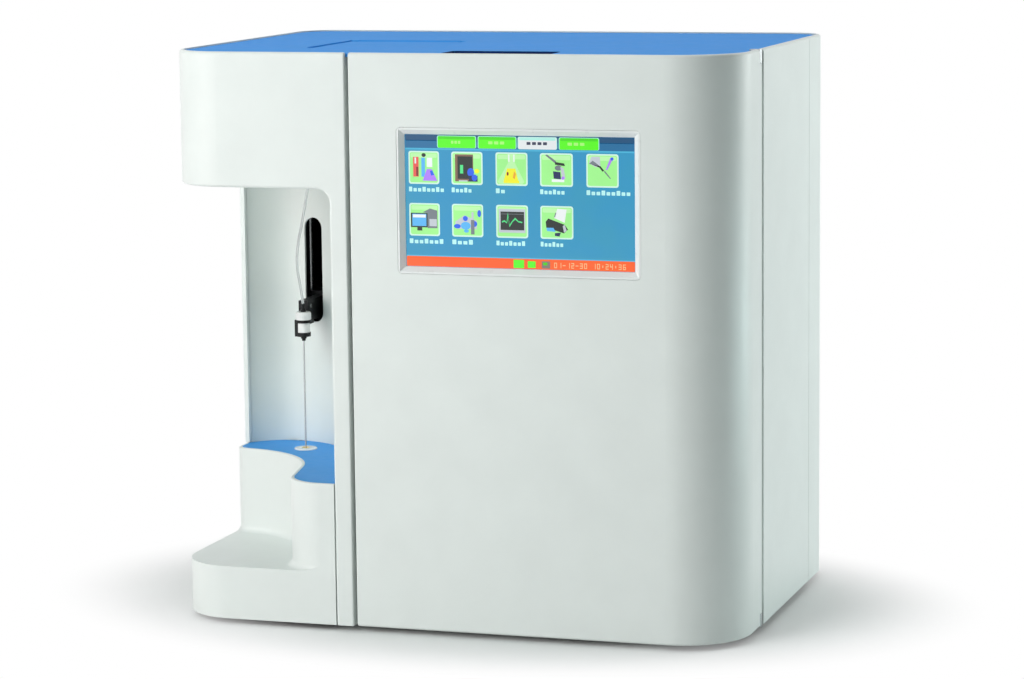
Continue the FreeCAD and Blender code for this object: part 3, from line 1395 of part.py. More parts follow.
blades = []
for dx, dz in ((-7.0, -4.0), (7.0, -4.0), (0.0, 0.5)):
    blades.append(block(inlet_x + dx - 1, inlet_x + dx + 1, back - 18, back - 4,
                        inlet_z + dz - 8, inlet_z + dz - 3))
finish(fuse(
    cut(
        block(inlet_x - v.inlet_width / 2 + 0.2, inlet_x + v.inlet_width / 2 - 0.2,
              back - v.wall - 22, back - 0.5,
              inlet_z - v.inlet_height / 2 + 0.2, inlet_z + v.inlet_height / 2 - 0.2),
        block(inlet_x - 10, inlet_x + 10, back - 17, back + 1, inlet_z - 18, inlet_z + 6),
    ),
    *blades,
), "mains_inlet")
switch_body = cut(
    block(inlet_x - 9.5, inlet_x + 9.5, back - v.wall - 14, back - 0.5, switch_z - 6.5, switch_z + 6.5),
    block(inlet_x - 7.6, inlet_x + 7.6, back - 9, back + 1, switch_z - 4.6, switch_z + 4.6),
    rod("x", back - 5.0, switch_z, inlet_x - 9.0, inlet_x + 9.0, 1.0),
)
finish(switch_body, "switch_body")
rocker = Moulding("switch_rocker")
rocker.pad("yz", inlet_x - 7.2, inlet_x + 7.2, lambda s: polygon(s, [
    (back - 6.5, switch_z - 2.4),
    (back - 2.2, switch_z - 4.0),
    (back - 1.9, switch_z),
    (back - 2.2, switch_z + 4.0),
    (back - 6.5, switch_z + 2.4),
]))
rocker.pad("yz", inlet_x - 8.9, inlet_x + 8.9, lambda s: circle(s, back - 5.0, switch_z, 0.93))
ROCKER_TILT = 9
rocker_pivot = Vector(0, float(back) - 5.0, float(switch_z))
rocker.body.Placement = Placement(Vector(), Rotation(Vector(1, 0, 0), ROCKER_TILT), rocker_pivot)
finish(fuse(
    cut(
        block(serial_x - 8.5, serial_x + 8.5, back - 20, back - 0.5, port_z - 4.5, port_z + 4.5),
        block(serial_x - 7.2, serial_x + 7.2, back - 6, back + 1, port_z - 3.3, port_z + 3.3),
    ),
    cut(
        block(usb_x - 6.8, usb_x + 6.8, back - 20, back - 0.5, port_z - 7.5, port_z + 7.5),
        block(usb_x - 5.8, usb_x + 5.8, back - 12, back + 1, port_z - 5.8, port_z - 1.2),
        block(usb_x - 5.8, usb_x + 5.8, back - 12, back + 1, port_z + 1.2, port_z + 5.8),
    ),
    cut(
        block(network_x - 7.8, network_x + 7.8, back - 20, back - 0.5, port_z - 6.5, port_z + 6.5),
        block(network_x - 5.8, network_x + 5.8, back - 14, back + 1, port_z - 4.5, port_z + 4.0),
    ),
    block(serial_x - 14, network_x + 14, back - 22, back - 20, port_z - 20, port_z + 20),
), "port_board")

# Rear cover screws

rear_screws = []
for x, z in screw_spots:
    rear_screws.append(fuse(
        rod("y", x, z, back - v.wall - 7, back - 1.8, 1.5),
        rod("y", x, z, back - 1.8, back - 0.2, v.screw_head_radius),
    ))
finish(together(*rear_screws), "rear_screws")

# Door catch: magnet on the cover, steel strike on the door's lip

finish(block(strip_right, strip_right + v.door_seam + v.wall + 6, front + v.door_lip + 0.5,
             front + v.door_lip + 9, catch_z - 14, catch_z + 14), "magnet_catch")

doc.recompute()

for obj in doc.Objects:
    if "Invalid" in obj.State or "Error" in obj.State:
        raise RuntimeError(f"{obj.Label} failed: {obj.State}")
os.makedirs("parts", exist_ok=True)
for obj in parts:
    shape = obj.Shape
    if shape.isNull() or not shape.isValid() or not shape.Solids:
        raise RuntimeError(f"{obj.Label} has no valid solid")
    shape.exportStep(f"parts/{obj.Label}.step")
print(len(parts), "sub-parts")
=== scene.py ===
import math

import bmesh
import bpy
from mathutils import Matrix, Vector


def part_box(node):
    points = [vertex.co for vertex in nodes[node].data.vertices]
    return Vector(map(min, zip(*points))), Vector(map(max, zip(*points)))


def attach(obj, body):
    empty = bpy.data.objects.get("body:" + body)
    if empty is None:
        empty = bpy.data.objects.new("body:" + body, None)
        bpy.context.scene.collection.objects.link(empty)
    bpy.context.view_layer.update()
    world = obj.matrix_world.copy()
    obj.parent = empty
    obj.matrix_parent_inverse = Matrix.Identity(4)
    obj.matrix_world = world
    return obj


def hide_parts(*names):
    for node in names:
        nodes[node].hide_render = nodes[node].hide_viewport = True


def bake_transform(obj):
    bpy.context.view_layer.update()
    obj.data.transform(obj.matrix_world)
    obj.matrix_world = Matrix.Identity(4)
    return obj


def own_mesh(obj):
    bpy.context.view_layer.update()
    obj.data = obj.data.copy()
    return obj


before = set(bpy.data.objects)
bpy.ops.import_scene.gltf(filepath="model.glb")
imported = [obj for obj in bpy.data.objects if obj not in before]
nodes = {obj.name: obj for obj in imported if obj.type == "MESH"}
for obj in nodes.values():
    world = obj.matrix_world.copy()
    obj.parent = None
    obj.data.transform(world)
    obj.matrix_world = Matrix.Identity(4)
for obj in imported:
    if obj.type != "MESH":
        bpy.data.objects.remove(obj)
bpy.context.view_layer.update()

MM = 0.001


# Node materials

def new_material(name):
    """A material with one Principled shader, its node tree and that shader."""
    material = bpy.data.materials.new(name)
    material.use_nodes = True
    tree = material.node_tree
    return material, tree, tree.nodes["Principled BSDF"]


def stretched(tree, scale=(1.0, 1.0, 1.0)):
    """Object coordinates with a scale for each axis."""
    source = tree.nodes.new("ShaderNodeTexCoord")
    mapping = tree.nodes.new("ShaderNodeMapping")
    mapping.inputs["Scale"].default_value = scale
    tree.links.new(source.outputs["Object"], mapping.inputs["Vector"])
    return mapping.outputs["Vector"]


def noise(tree, size_mm, detail=2.0, scale=(1.0, 1.0, 1.0)):
    """Noise whose blobs are about size_mm across."""
    node = tree.nodes.new("ShaderNodeTexNoise")
    node.inputs["Scale"].default_value = 1.0 / (size_mm * MM)
    node.inputs["Detail"].default_value = detail
    tree.links.new(stretched(tree, scale), node.inputs["Vector"])
    return node.outputs["Fac"]


def spread(tree, value, low, high):
    """A 0 to 1 value moved to another range, its middle part stretched."""
    node = tree.nodes.new("ShaderNodeMapRange")
    node.inputs["From Min"].default_value = 0.3
    node.inputs["From Max"].default_value = 0.7
    node.inputs["To Min"].default_value = low
    node.inputs["To Max"].default_value = high
    tree.links.new(value, node.inputs["Value"])
    return node.outputs["Result"]


def blended(tree, factor, first, second):
    """Two colours mixed by a factor."""
    node = tree.nodes.new("ShaderNodeMix")
    node.data_type = "RGBA"
    tree.links.new(factor, node.inputs[0])
    for socket, colour in ((node.inputs[6], first), (node.inputs[7], second)):
        if isinstance(colour, (tuple, list)):
            socket.default_value = (*colour[:3], 1.0)
        else:
            tree.links.new(colour, socket)
    return node.outputs[2]


def embossed(tree, shader, height, depth_mm):
    """Bump from a height value."""
    node = tree.nodes.new("ShaderNodeBump")
    node.inputs["Strength"].default_value = 1.0
    node.inputs["Distance"].default_value = depth_mm * MM
    tree.links.new(height, node.inputs["Height"])
    tree.links.new(node.outputs["Normal"], shader.inputs["Normal"])


def darker(colour, factor):
    """A colour scaled in brightness."""
    return tuple(c * factor for c in colour)


def moulded(name, colour, roughness=0.4, grain=0.9, depth=0.02, mottle=0.965, coat=0.0, specular=0.5):
    """Injection-moulded plastic: fine texture, a faint mottle and uneven gloss."""
    material, tree, shader = new_material(name)
    shader.inputs["Base Color"].default_value = (*colour, 1.0)
    shader.inputs["Coat Weight"].default_value = coat
    shader.inputs["Coat Roughness"].default_value = 0.15
    shader.inputs["Specular IOR Level"].default_value = specular
    cloud = spread(tree, noise(tree, 34.0, 3.0), 0.0, 1.0)
    tree.links.new(blended(tree, cloud, colour, darker(colour, mottle)), shader.inputs["Base Color"])
    gloss = spread(tree, noise(tree, 6.0, 2.0), roughness - 0.03, roughness + 0.03)
    tree.links.new(gloss, shader.inputs["Roughness"])
    embossed(tree, shader, noise(tree, grain, 2.0), depth)
    return material


def metal(name, colour, roughness=0.3, grain=(1.0, 1.0, 14.0), depth=0.004):
    """Metal with a brushed or rolled direction."""
    material, tree, shader = new_material(name)
    shader.inputs["Metallic"].default_value = 1.0
    lines = noise(tree, 1.6, 3.0, grain)
    tree.links.new(blended(tree, spread(tree, lines, 0.0, 1.0), colour, darker(colour, 0.86)),
                   shader.inputs["Base Color"])
    tree.links.new(spread(tree, lines, roughness - 0.06, roughness + 0.08), shader.inputs["Roughness"])
    embossed(tree, shader, lines, depth)
    return material


def lit(name, colour, strength=0.85, second=None):
    """A field of a lit display under clear glass, with a soft change of tone."""
    material, tree, shader = new_material(name)
    tone = spread(tree, noise(tree, 24.0, 1.0), 0.0, 1.0)
    mixed = blended(tree, tone, colour, second or darker(colour, 0.94))
    dim = blended(tree, tone, darker(colour, 0.18), darker(colour, 0.15))
    tree.links.new(dim, shader.inputs["Base Color"])
    tree.links.new(mixed, shader.inputs["Emission Color"])
    shader.inputs["Emission Strength"].default_value = strength
    shader.inputs["Roughness"].default_value = 0.22
    shader.inputs["Specular IOR Level"].default_value = 0.3
    embossed(tree, shader, noise(tree, 0.6, 1.0), 0.003)
    return material


def clear(name, colour, roughness=0.08, alpha=0.35):
    """Clear or milky flexible plastic."""
    material, tree, shader = new_material(name)
    tone = spread(tree, noise(tree, 5.0, 2.0), 0.0, 1.0)
    tree.links.new(blended(tree, tone, colour, darker(colour, 0.93)), shader.inputs["Base Color"])
    shader.inputs["Transmission Weight"].default_value = 1.0 - alpha
    shader.inputs["IOR"].default_value = 1.38
    tree.links.new(spread(tree, noise(tree, 2.0), roughness, roughness + 0.06), shader.inputs["Roughness"])
    return material


CASING = (0.80, 0.84, 0.82)
BLUE = (0.065, 0.36, 0.93)
casing = moulded("casing_plastic", CASING, 0.36, 1.1, 0.018, 0.965)
bay_plastic = moulded("bay_plastic", (0.75, 0.80, 0.77), 0.42, 1.0, 0.014, 0.975)
bezel_plastic = moulded("bezel_plastic", (0.86, 0.88, 0.88), 0.3, 0.8, 0.01, 0.98)
blue_top = moulded("blue_top_plastic", BLUE, 0.5, 1.1, 0.02, 0.96, specular=0.02)
blue_inlay = moulded("blue_inlay_plastic", (0.08, 0.38, 0.88), 0.45, 1.0, 0.02, 0.95, specular=0.05)
black_plastic = moulded("black_plastic", (0.008, 0.009, 0.010), 0.42, 0.9, 0.02, 0.8, specular=0.2)
white_plastic = moulded("white_plastic", (0.85, 0.86, 0.85), 0.25, 0.8, 0.006, 0.97, 0.3)
grey_plastic = moulded("grey_plastic", (0.33, 0.35, 0.36), 0.4, 0.9, 0.015, 0.92)
knob_plastic = moulded("knob_plastic", (0.03, 0.16, 0.5), 0.3, 0.9, 0.01, 0.9, 0.3)
pack_card = moulded("pack_card", (0.86, 0.88, 0.9), 0.55, 2.2, 0.03, 0.95)
pack_blue = moulded("pack_blue_card", (0.06, 0.25, 0.55), 0.5, 2.2, 0.03, 0.9)
electrode_plastic = moulded("electrode_plastic", (0.72, 0.70, 0.58), 0.18, 1.5, 0.006, 0.93, 0.4)
reference_plastic = moulded("reference_plastic", (0.52, 0.60, 0.72), 0.18, 1.5, 0.006, 0.93, 0.4)
rubber = moulded("rubber", (0.02, 0.02, 0.021), 0.75, 0.7, 0.03, 0.85)
paper = moulded("thermal_paper", (0.88, 0.88, 0.86), 0.7, 0.5, 0.01, 0.98)
board_green = moulded("solder_mask", (0.008, 0.12, 0.05), 0.3, 1.2, 0.01, 0.8, 0.3)
zinc = metal("zinc_sheet", (0.40, 0.42, 0.43), 0.42, (1.0, 1.0, 9.0))
steel = metal("steel", (0.46, 0.47, 0.48), 0.24, (1.0, 1.0, 12.0), 0.002)
brass = metal("brass", (0.78, 0.60, 0.28), 0.25, (1.0, 1.0, 5.0), 0.002)
dark_steel = metal("dark_steel", (0.22, 0.23, 0.24), 0.4, (8.0, 8.0, 1.0), 0.006)
# Black-oxide finish, darkened further to near-black with no specular as painted shade, so the lead screw and
# drive frame read as the dark inside of the needle slot
black_oxide_slot_shade = moulded("black_oxide_slot_shade", (0.003, 0.003, 0.0035), 0.7, 0.8, 0.004, 0.9, specular=0.0)
tube_clear = clear("tube_clear", (0.90, 0.93, 0.93), 0.1, 0.45)
glass_dark = moulded("cover_glass", (0.004, 0.008, 0.01), 0.06, 4.0, 0.001, 0.9, 1.0)

NODE_MATERIALS = {
    casing: ["door", "left_front_cover", "left_side_cover", "rear_cover", "right_side_cover", "sample_base"],
    bay_plastic: ["bay_liner"],
    bezel_plastic: ["screen_bezel"],
    blue_top: ["top_panel", "printer_lid"],
    blue_inlay: ["platform_inlay"],
    black_plastic: ["magnet_catch", "mains_inlet", "needle_arm", "needle_carriage", "printer_bucket",
                    "printer_mechanism", "pump_rotor", "screen_carrier", "slot_shroud", "switch_body",
                    "switch_rocker"],
    white_plastic: ["needle_holder", "electrode_pusher", "pump_roller_1", "pump_roller_2", "pump_roller_3",
                    "rinse_port", "valve_1", "valve_2"],
    grey_plastic: ["electrode_holder", "pump_housing"],
    knob_plastic: ["electrode_lock"],
    pack_card: ["reagent_pack"],
    electrode_plastic: ["electrodes"],
    reference_plastic: ["reference_electrode"],
    rubber: ["rubber_feet", "platen_roller"],
    paper: ["paper_roll"],
    board_green: ["main_board", "port_board"],
    zinc: ["base_plate", "bulkhead", "hinge_bracket_lower", "hinge_bracket_upper",
           "power_supply", "display_module"],
    steel: ["guide_rods", "lid_hinge_pin", "needle", "rear_screws", "valve_plunger_1",
            "valve_plunger_2"],
    dark_steel: ["needle_motor", "pump_motor"],
    black_oxide_slot_shade: ["drive_frame", "lead_screw"],
    tube_clear: ["pump_tube", "sample_tube"],
    glass_dark: ["touch_glass"],
}
for material, names in NODE_MATERIALS.items():
    for name in names:
        slots = nodes[name].data.materials
        if not slots:
            slots.append(material)
        for index in range(len(slots)):
            slots[index] = material


# Mesh pieces

def piece(name, mesh, body, slot, *materials):
    """A mesh as a named piece that rides on a body."""
    data = bpy.data.meshes.new(name)
    mesh.to_mesh(data)
    mesh.free()
    thing = bpy.data.objects.new(name, data)
    bpy.context.scene.collection.objects.link(thing)
    for material in materials:
        data.materials.append(material)
    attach(thing, body)
    return thing


def ring_of(width, height, radius, steps=5):
    """Points of a rounded rectangle round the origin, counterclockwise."""
    radius = min(radius, width / 2 - 1e-6, height / 2 - 1e-6)
    points = []
    for cx, cy, start in ((1, 1, 0), (-1, 1, 90), (-1, -1, 180), (1, -1, 270)):
        for step in range(steps + 1):
            turn = math.radians(start + 90 * step / steps)
            points.append((cx * (width / 2 - radius) + radius * math.cos(turn),
                           cy * (height / 2 - radius) + radius * math.sin(turn)))
    return points


def add_field(mesh, points, y, thickness, index=0):
    """A thin raised field facing the front, from points in x and z."""
    if sum(a[0] * b[1] - b[0] * a[1] for a, b in zip(points, points[1:] + points[:1])) < 0:
        points = points[::-1]
    front = [mesh.verts.new((x, y - thickness, z)) for x, z in points]
    back = [mesh.verts.new((x, y, z)) for x, z in points]
    faces = [mesh.faces.new(front)]
    for k in range(len(points)):
        after = (k + 1) % len(points)
        faces.append(mesh.faces.new((front[k], back[k], back[after], front[after])))
    for face in faces:
        face.material_index = index


# Screen: the lit display, drawn as thin fields on the touch glass

glass_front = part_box("touch_glass")[0].y
bezel_low, bezel_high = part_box("screen_bezel")
SCREEN_WIDTH = 154.1 * MM
SCREEN_HEIGHT = 85.9 * MM
screen_x = (bezel_low.x + bezel_high.x) / 2
screen_z = (bezel_low.z + bezel_high.z) / 2
screen_left = screen_x - SCREEN_WIDTH / 2
screen_top = screen_z + SCREEN_HEIGHT / 2
LAYER = 0.03 * MM


def on_screen(u, v):
    """A point of the display: u from the left and v from the top, both 0 to 1."""
    return (screen_left + u * SCREEN_WIDTH, screen_top - v * SCREEN_HEIGHT)


def tile(mesh, u0, v0, u1, v1, layer, index=0, radius_mm=0.0):
    """A rectangle of the display, with rounded corners if asked."""
    x0, z1 = on_screen(u0, v0)
    x1, z0 = on_screen(u1, v1)
    cx, cz = (x0 + x1) / 2, (z0 + z1) / 2
    if radius_mm:
        points = [(cx + x, cz + z) for x, z in ring_of(x1 - x0, z1 - z0, radius_mm * MM)]
    else:
        points = [(x0, z0), (x1, z0), (x1, z1), (x0, z1)]
    add_field(mesh, points, glass_front - layer * LAYER, LAYER, index)


def drawn(mesh, corner, size, shape, layer, index):
    """A polygon of an icon: shape in 0 to 1 across the icon, up from its lower left."""
    (u0, v1), (width, height) = corner, size
    points = [on_screen(u0 + x * width, v1 - z * height) for x, z in shape]
    add_field(mesh, points, glass_front - layer * LAYER, LAYER, index)


def disc(cx, cz, rx, rz, steps=14):
    """An ellipse as a polygon."""
    return [(cx + rx * math.cos(2 * math.pi * k / steps), cz + rz * math.sin(2 * math.pi * k / steps))
            for k in range(steps)]


def bar(x0, z0, x1, z1):
    """A rectangle as a polygon."""
    return [(x0, z0), (x1, z0), (x1, z1), (x0, z1)]


ground = bmesh.new()
tile(ground, 0.0, 0.0, 1.0, 1.0, 0, 0, 1.0)
tile(ground, 0.002, 0.002, 0.998, 0.050, 1, 1, 0.8)
tile(ground, 0.002, 0.045, 0.998, 0.104, 1, 2)
tile(ground, 0.002, 0.104, 0.998, 0.116, 1, 3)
tile(ground, 0.002, 0.912, 0.998, 0.922, 1, 3)
tile(ground, 0.002, 0.921, 0.998, 0.998, 2, 4, 0.8)
piece("screen_ground", ground, "door", "glass",
      lit("display_teal", (0.020, 0.285, 0.545), 0.85, (0.028, 0.31, 0.50)),
      lit("display_header_top", (0.004, 0.075, 0.19), 0.85),
      lit("display_header", (0.008, 0.15, 0.34), 0.85),
      lit("display_line", (0.06, 0.46, 0.70), 0.85),
      lit("display_orange", (0.98, 0.095, 0.006), 0.85, (0.96, 0.13, 0.012)))

TABS = ((0.146, 0.312, 0), (0.325, 0.488, 0), (0.499, 0.664, 2), (0.677, 0.845, 0))
TAB_MARKS = ((0.205, 0.250), (0.368, 0.445), (0.535, 0.630), (0.712, 0.792))
tabs = bmesh.new()
for (u0, u1, index), (m0, m1) in zip(TABS, TAB_MARKS):
    tile(tabs, u0 - 0.003, 0.008, u1 + 0.003, 0.101, 2, 3, 1.2)
    tile(tabs, u0, 0.012, u1, 0.100, 3, index, 1.0)
    tile(tabs, u0 + 0.004, 0.014, u1 - 0.004, 0.034, 4, index + 1, 0.6)
    strokes = 4 if index else 3
    step = (m1 - m0) / strokes
    for stroke in range(strokes):
        tile(tabs, m0 + stroke * step, 0.046, m0 + (stroke + 0.72) * step, 0.068, 5, 4 if index else 5, 0.3)
piece("screen_tabs", tabs, "door", "glass",
      lit("display_green", (0.10, 0.96, 0.005), 0.85),
      lit("display_green_dark", (0.06, 0.72, 0.004), 0.85),
      lit("display_pale", (0.80, 0.84, 0.86), 0.85),
      lit("display_tab_rim", (0.45, 0.92, 0.82), 0.8),
      lit("display_ink", (0.05, 0.06, 0.12), 0.6),
      lit("display_green_mark", (0.42, 0.97, 0.20), 0.85))

COLUMNS = ((0.016, 0.151), (0.205, 0.342), (0.399, 0.538), (0.592, 0.734), (0.792, 0.930))
ROWS = ((0.127, 0.375), (0.520, 0.767))
ICON_COLOURS = {
    "tile": (0.36, 0.93, 0.28),
    "rim": (0.66, 0.95, 0.80),
    "shine": (0.52, 0.96, 0.44),
    "red": (0.85, 0.10, 0.08),
    "maroon": (0.22, 0.02, 0.02),
    "blue": (0.02, 0.12, 0.85),
    "navy": (0.01, 0.02, 0.10),
    "dark": (0.012, 0.02, 0.018),
    "violet": (0.45, 0.22, 0.95),
    "yellow": (0.93, 0.90, 0.02),
    "amber": (0.85, 0.42, 0.03),
    "grey": (0.18, 0.21, 0.24),
    "silver": (0.55, 0.60, 0.66),
    "white": (0.88, 0.93, 0.94),
    "green": (0.08, 0.78, 0.25),
    "sky": (0.10, 0.48, 0.92),
    "brown": (0.22, 0.12, 0.08),
}
COLOUR_INDEX = {name: index for index, name in enumerate(ICON_COLOURS)}
FLASK = [(0.36, 0.95), (0.40, 0.70), (0.06, 0.12), (0.12, 0.05), (0.84, 0.05), (0.90, 0.12), (0.60, 0.70),
         (0.64, 0.95)]
LIQUID = [(0.36, 0.52), (0.24, 0.10), (0.72, 0.10), (0.62, 0.52)]
TRACE = [(0.18, 0.50), (0.26, 0.54), (0.33, 0.48), (0.37, 0.78), (0.42, 0.40), (0.52, 0.54), (0.60, 0.62),
         (0.70, 0.52), (0.82, 0.50), (0.82, 0.46), (0.70, 0.48), (0.60, 0.56), (0.52, 0.49), (0.42, 0.33),
         (0.38, 0.64), (0.34, 0.44), (0.26, 0.49), (0.18, 0.46)]
ICONS = [
    (0, 0, [("red", bar(0.15, 0.22, 0.33, 0.82)), ("maroon", bar(0.25, 0.24, 0.32, 0.52)),
            ("white", bar(0.20, 0.62, 0.25, 0.80)), ("sky", bar(0.42, 0.22, 0.54, 0.80)),
            ("dark", disc(0.50, 0.88, 0.07, 0.06)),
            ("white", [(0.60, 0.80), (0.78, 0.80), (0.78, 0.52), (0.60, 0.52)]),
            ("violet", [(0.60, 0.46), (0.76, 0.46), (0.94, 0.10), (0.46, 0.10)]),
            ("blue", [(0.70, 0.40), (0.78, 0.42), (0.84, 0.28), (0.74, 0.26)])]),
    (1, 0, [("brown", bar(0.12, 0.10, 0.70, 0.92)), ("dark", bar(0.20, 0.18, 0.68, 0.86)),
            ("green", bar(0.28, 0.34, 0.38, 0.60)), ("blue", disc(0.62, 0.38, 0.11, 0.13)),
            ("navy", bar(0.56, 0.10, 0.84, 0.28)), ("blue", disc(0.74, 0.22, 0.09, 0.10)),
            ("yellow", disc(0.82, 0.42, 0.08, 0.07)), ("silver", bar(0.24, 0.10, 0.52, 0.14))]),
    (2, 0, [("shine", FLASK), ("white", bar(0.40, 0.72, 0.44, 0.94)), ("white", bar(0.56, 0.72, 0.60, 0.94)),
            ("yellow", LIQUID), ("amber", [(0.58, 0.44), (0.64, 0.36), (0.60, 0.20), (0.54, 0.24)]),
            ("maroon", disc(0.38, 0.36, 0.03, 0.06)), ("yellow", bar(0.26, 0.08, 0.74, 0.16))]),
    (3, 0, [("grey", [(0.16, 0.94), (0.22, 0.96), (0.50, 0.76), (0.46, 0.70)]),
            ("dark", [(0.46, 0.74), (0.74, 0.70), (0.76, 0.62), (0.46, 0.66)]),
            ("grey", disc(0.56, 0.56, 0.11, 0.08)),
            ("navy", [(0.40, 0.46), (0.62, 0.44), (0.64, 0.22), (0.42, 0.24)]),
            ("silver", [(0.62, 0.60), (0.72, 0.56), (0.78, 0.24), (0.68, 0.22)]),
            ("white", bar(0.36, 0.14, 0.74, 0.22)), ("violet", disc(0.70, 0.26, 0.05, 0.05))]),
    (4, 0, [("silver", [(0.08, 0.72), (0.16, 0.92), (0.42, 0.92), (0.44, 0.64), (0.30, 0.60)]),
            ("grey", [(0.08, 0.70), (0.20, 0.68), (0.44, 0.58), (0.40, 0.66), (0.20, 0.80)]),
            ("dark", [(0.18, 0.68), (0.44, 0.64), (0.56, 0.50), (0.50, 0.48), (0.40, 0.60)]),
            ("grey", [(0.54, 0.48), (0.58, 0.50), (0.76, 0.28), (0.74, 0.26)]),
            ("violet", [(0.60, 0.52), (0.66, 0.54), (0.82, 0.84), (0.74, 0.88)]),
            ("blue", disc(0.80, 0.86, 0.05, 0.05))]),
    (0, 1, [("grey", [(0.44, 0.72), (0.68, 0.84), (0.92, 0.78), (0.92, 0.24), (0.60, 0.24), (0.60, 0.70)]),
            ("silver", bar(0.66, 0.30, 0.90, 0.52)), ("dark", bar(0.05, 0.26, 0.60, 0.70)),
            ("sky", bar(0.10, 0.30, 0.56, 0.67)), ("white", bar(0.12, 0.56, 0.54, 0.65)),
            ("dark", bar(0.26, 0.16, 0.42, 0.26))]),
    (1, 1, [("silver", [(0.10, 0.46), (0.40, 0.66), (0.80, 0.50), (0.80, 0.24), (0.14, 0.24)]),
            ("blue", disc(0.17, 0.32, 0.11, 0.07)), ("blue", disc(0.43, 0.56, 0.08, 0.08)),
            ("sky", disc(0.44, 0.34, 0.16, 0.12)), ("blue", disc(0.72, 0.40, 0.09, 0.09)),
            ("sky", disc(0.46, 0.18, 0.08, 0.05)), ("grey", bar(0.61, 0.08, 0.72, 0.52)),
            ("silver", bar(0.63, 0.52, 0.70, 0.76)), ("blue", disc(0.88, 0.72, 0.06, 0.11))]),
    (2, 1, [("silver", bar(0.08, 0.16, 0.92, 0.88)), ("dark", bar(0.14, 0.24, 0.88, 0.80)), ("green", TRACE),
            ("grey", bar(0.16, 0.72, 0.86, 0.735))]),
    (3, 1, [("white", [(0.42, 0.64), (0.52, 0.92), (0.80, 0.90), (0.74, 0.50)]),
            ("dark", [(0.16, 0.52), (0.24, 0.62), (0.74, 0.44), (0.84, 0.30), (0.72, 0.18), (0.18, 0.34)]),
            ("silver", [(0.68, 0.40), (0.74, 0.44), (0.80, 0.26), (0.72, 0.20)]),
            ("sky", [(0.18, 0.34), (0.40, 0.34), (0.46, 0.22), (0.20, 0.24)]),
            ("navy", [(0.44, 0.18), (0.62, 0.20), (0.58, 0.08), (0.44, 0.10)]),
            ("grey", [(0.42, 0.66), (0.46, 0.80), (0.49, 0.80), (0.45, 0.66)])]),
]
icons = bmesh.new()
for column, row, shapes in ICONS:
    u0, u1 = COLUMNS[column]
    v0, v1 = ROWS[row]
    tile(icons, u0, v0, u1, v1, 2, COLOUR_INDEX["rim"], 1.6)
    tile(icons, u0 + 0.006, v0 + 0.011, u1 - 0.006, v1 - 0.011, 3, COLOUR_INDEX["tile"], 1.2)
    tile(icons, u0 + 0.010, v0 + 0.018, u1 - 0.010, v0 + 0.050, 4, COLOUR_INDEX["shine"], 0.8)
    for level, (colour, shape) in enumerate(shapes):
        drawn(icons, (u0, v1), (u1 - u0, v1 - v0), shape, 5 + level, COLOUR_INDEX[colour])
piece("screen_icons", icons, "door", "glass",
      *[lit("display_icon_" + name, colour, 0.85) for name, colour in ICON_COLOURS.items()])

LABELS = ((0, 0, 0.160, 8), (1, 0, 0.092, 5), (2, 0, 0.045, 2), (3, 0, 0.110, 6), (4, 0, 0.193, 9),
          (0, 1, 0.155, 7), (1, 1, 0.097, 4), (2, 1, 0.130, 7), (3, 1, 0.102, 6))
labels = bmesh.new()
for column, row, width, strokes in LABELS:
    u0 = COLUMNS[column][0]
    v = ROWS[row][1] + 0.022
    step = width / strokes
    for stroke in range(strokes):
        tall = 0.010 if stroke % 3 == 0 else 0.0
        tile(labels, u0 + stroke * step, v + 0.010 - tall, u0 + (stroke + 0.74) * step, v + 0.036, 2, 0, 0.35)
for u0, v0, u1, v1, index in ((0.473, 0.930, 0.519, 0.992, 1), (0.535, 0.938, 0.569, 0.988, 1),
                              (0.596, 0.936, 0.632, 0.990, 2), (0.602, 0.946, 0.620, 0.966, 1)):
    tile(labels, u0, v0, u1, v1, 3, index, 0.3)

SEGMENTS = {"0": "abcdef", "1": "bc", "2": "abged", "3": "abgcd", "4": "fgbc", "5": "afgcd", "6": "afgedc",
            "7": "abc", "8": "abcdefg", "9": "abcdfg", "-": "g", ":": "p", " ": ""}
SEGMENT_BARS = {"a": (0.0, 0.86, 1.0, 1.0), "b": (0.8, 0.5, 1.0, 1.0), "c": (0.8, 0.0, 1.0, 0.5),
                "d": (0.0, 0.0, 1.0, 0.14), "e": (0.0, 0.0, 0.2, 0.5), "f": (0.0, 0.5, 0.2, 1.0),
                "g": (0.0, 0.43, 1.0, 0.57), "p": (0.35, 0.28, 0.65, 0.70)}
CLOCK = "01-12-30 10:24:36"
CLOCK_LEFT, CLOCK_RIGHT, CLOCK_BASE = 0.650, 0.965, 0.984
DIGIT_SHARE, DIGIT_HEIGHT = 0.64, 0.040
pitch = (CLOCK_RIGHT - CLOCK_LEFT) / len(CLOCK)
for place, sign in enumerate(CLOCK):
    for segment in SEGMENTS[sign]:
        drawn(labels, (CLOCK_LEFT + place * pitch, CLOCK_BASE), (pitch * DIGIT_SHARE, DIGIT_HEIGHT),
              bar(*SEGMENT_BARS[segment]), 3, 3)
piece("screen_labels", labels, "door", "glass",
      lit("display_white", (0.50, 0.92, 0.90), 0.85),
      lit("display_bright_green", (0.10, 0.96, 0.01), 0.85),
      lit("display_grey", (0.30, 0.26, 0.22), 0.6),
      lit("display_clock", (0.98, 0.62, 0.30), 0.85))


# Shared builders: turned pieces, bevelled blocks, screws and hoses

def turned(name, body, slot, material, place, profile, axis="z"):
    """A turned piece; profile is radius and distance pairs in millimetres, along an axis through a place."""
    mesh = bmesh.new()
    add_turned(mesh, place, profile, axis)
    return piece(name, mesh, body, slot, material)


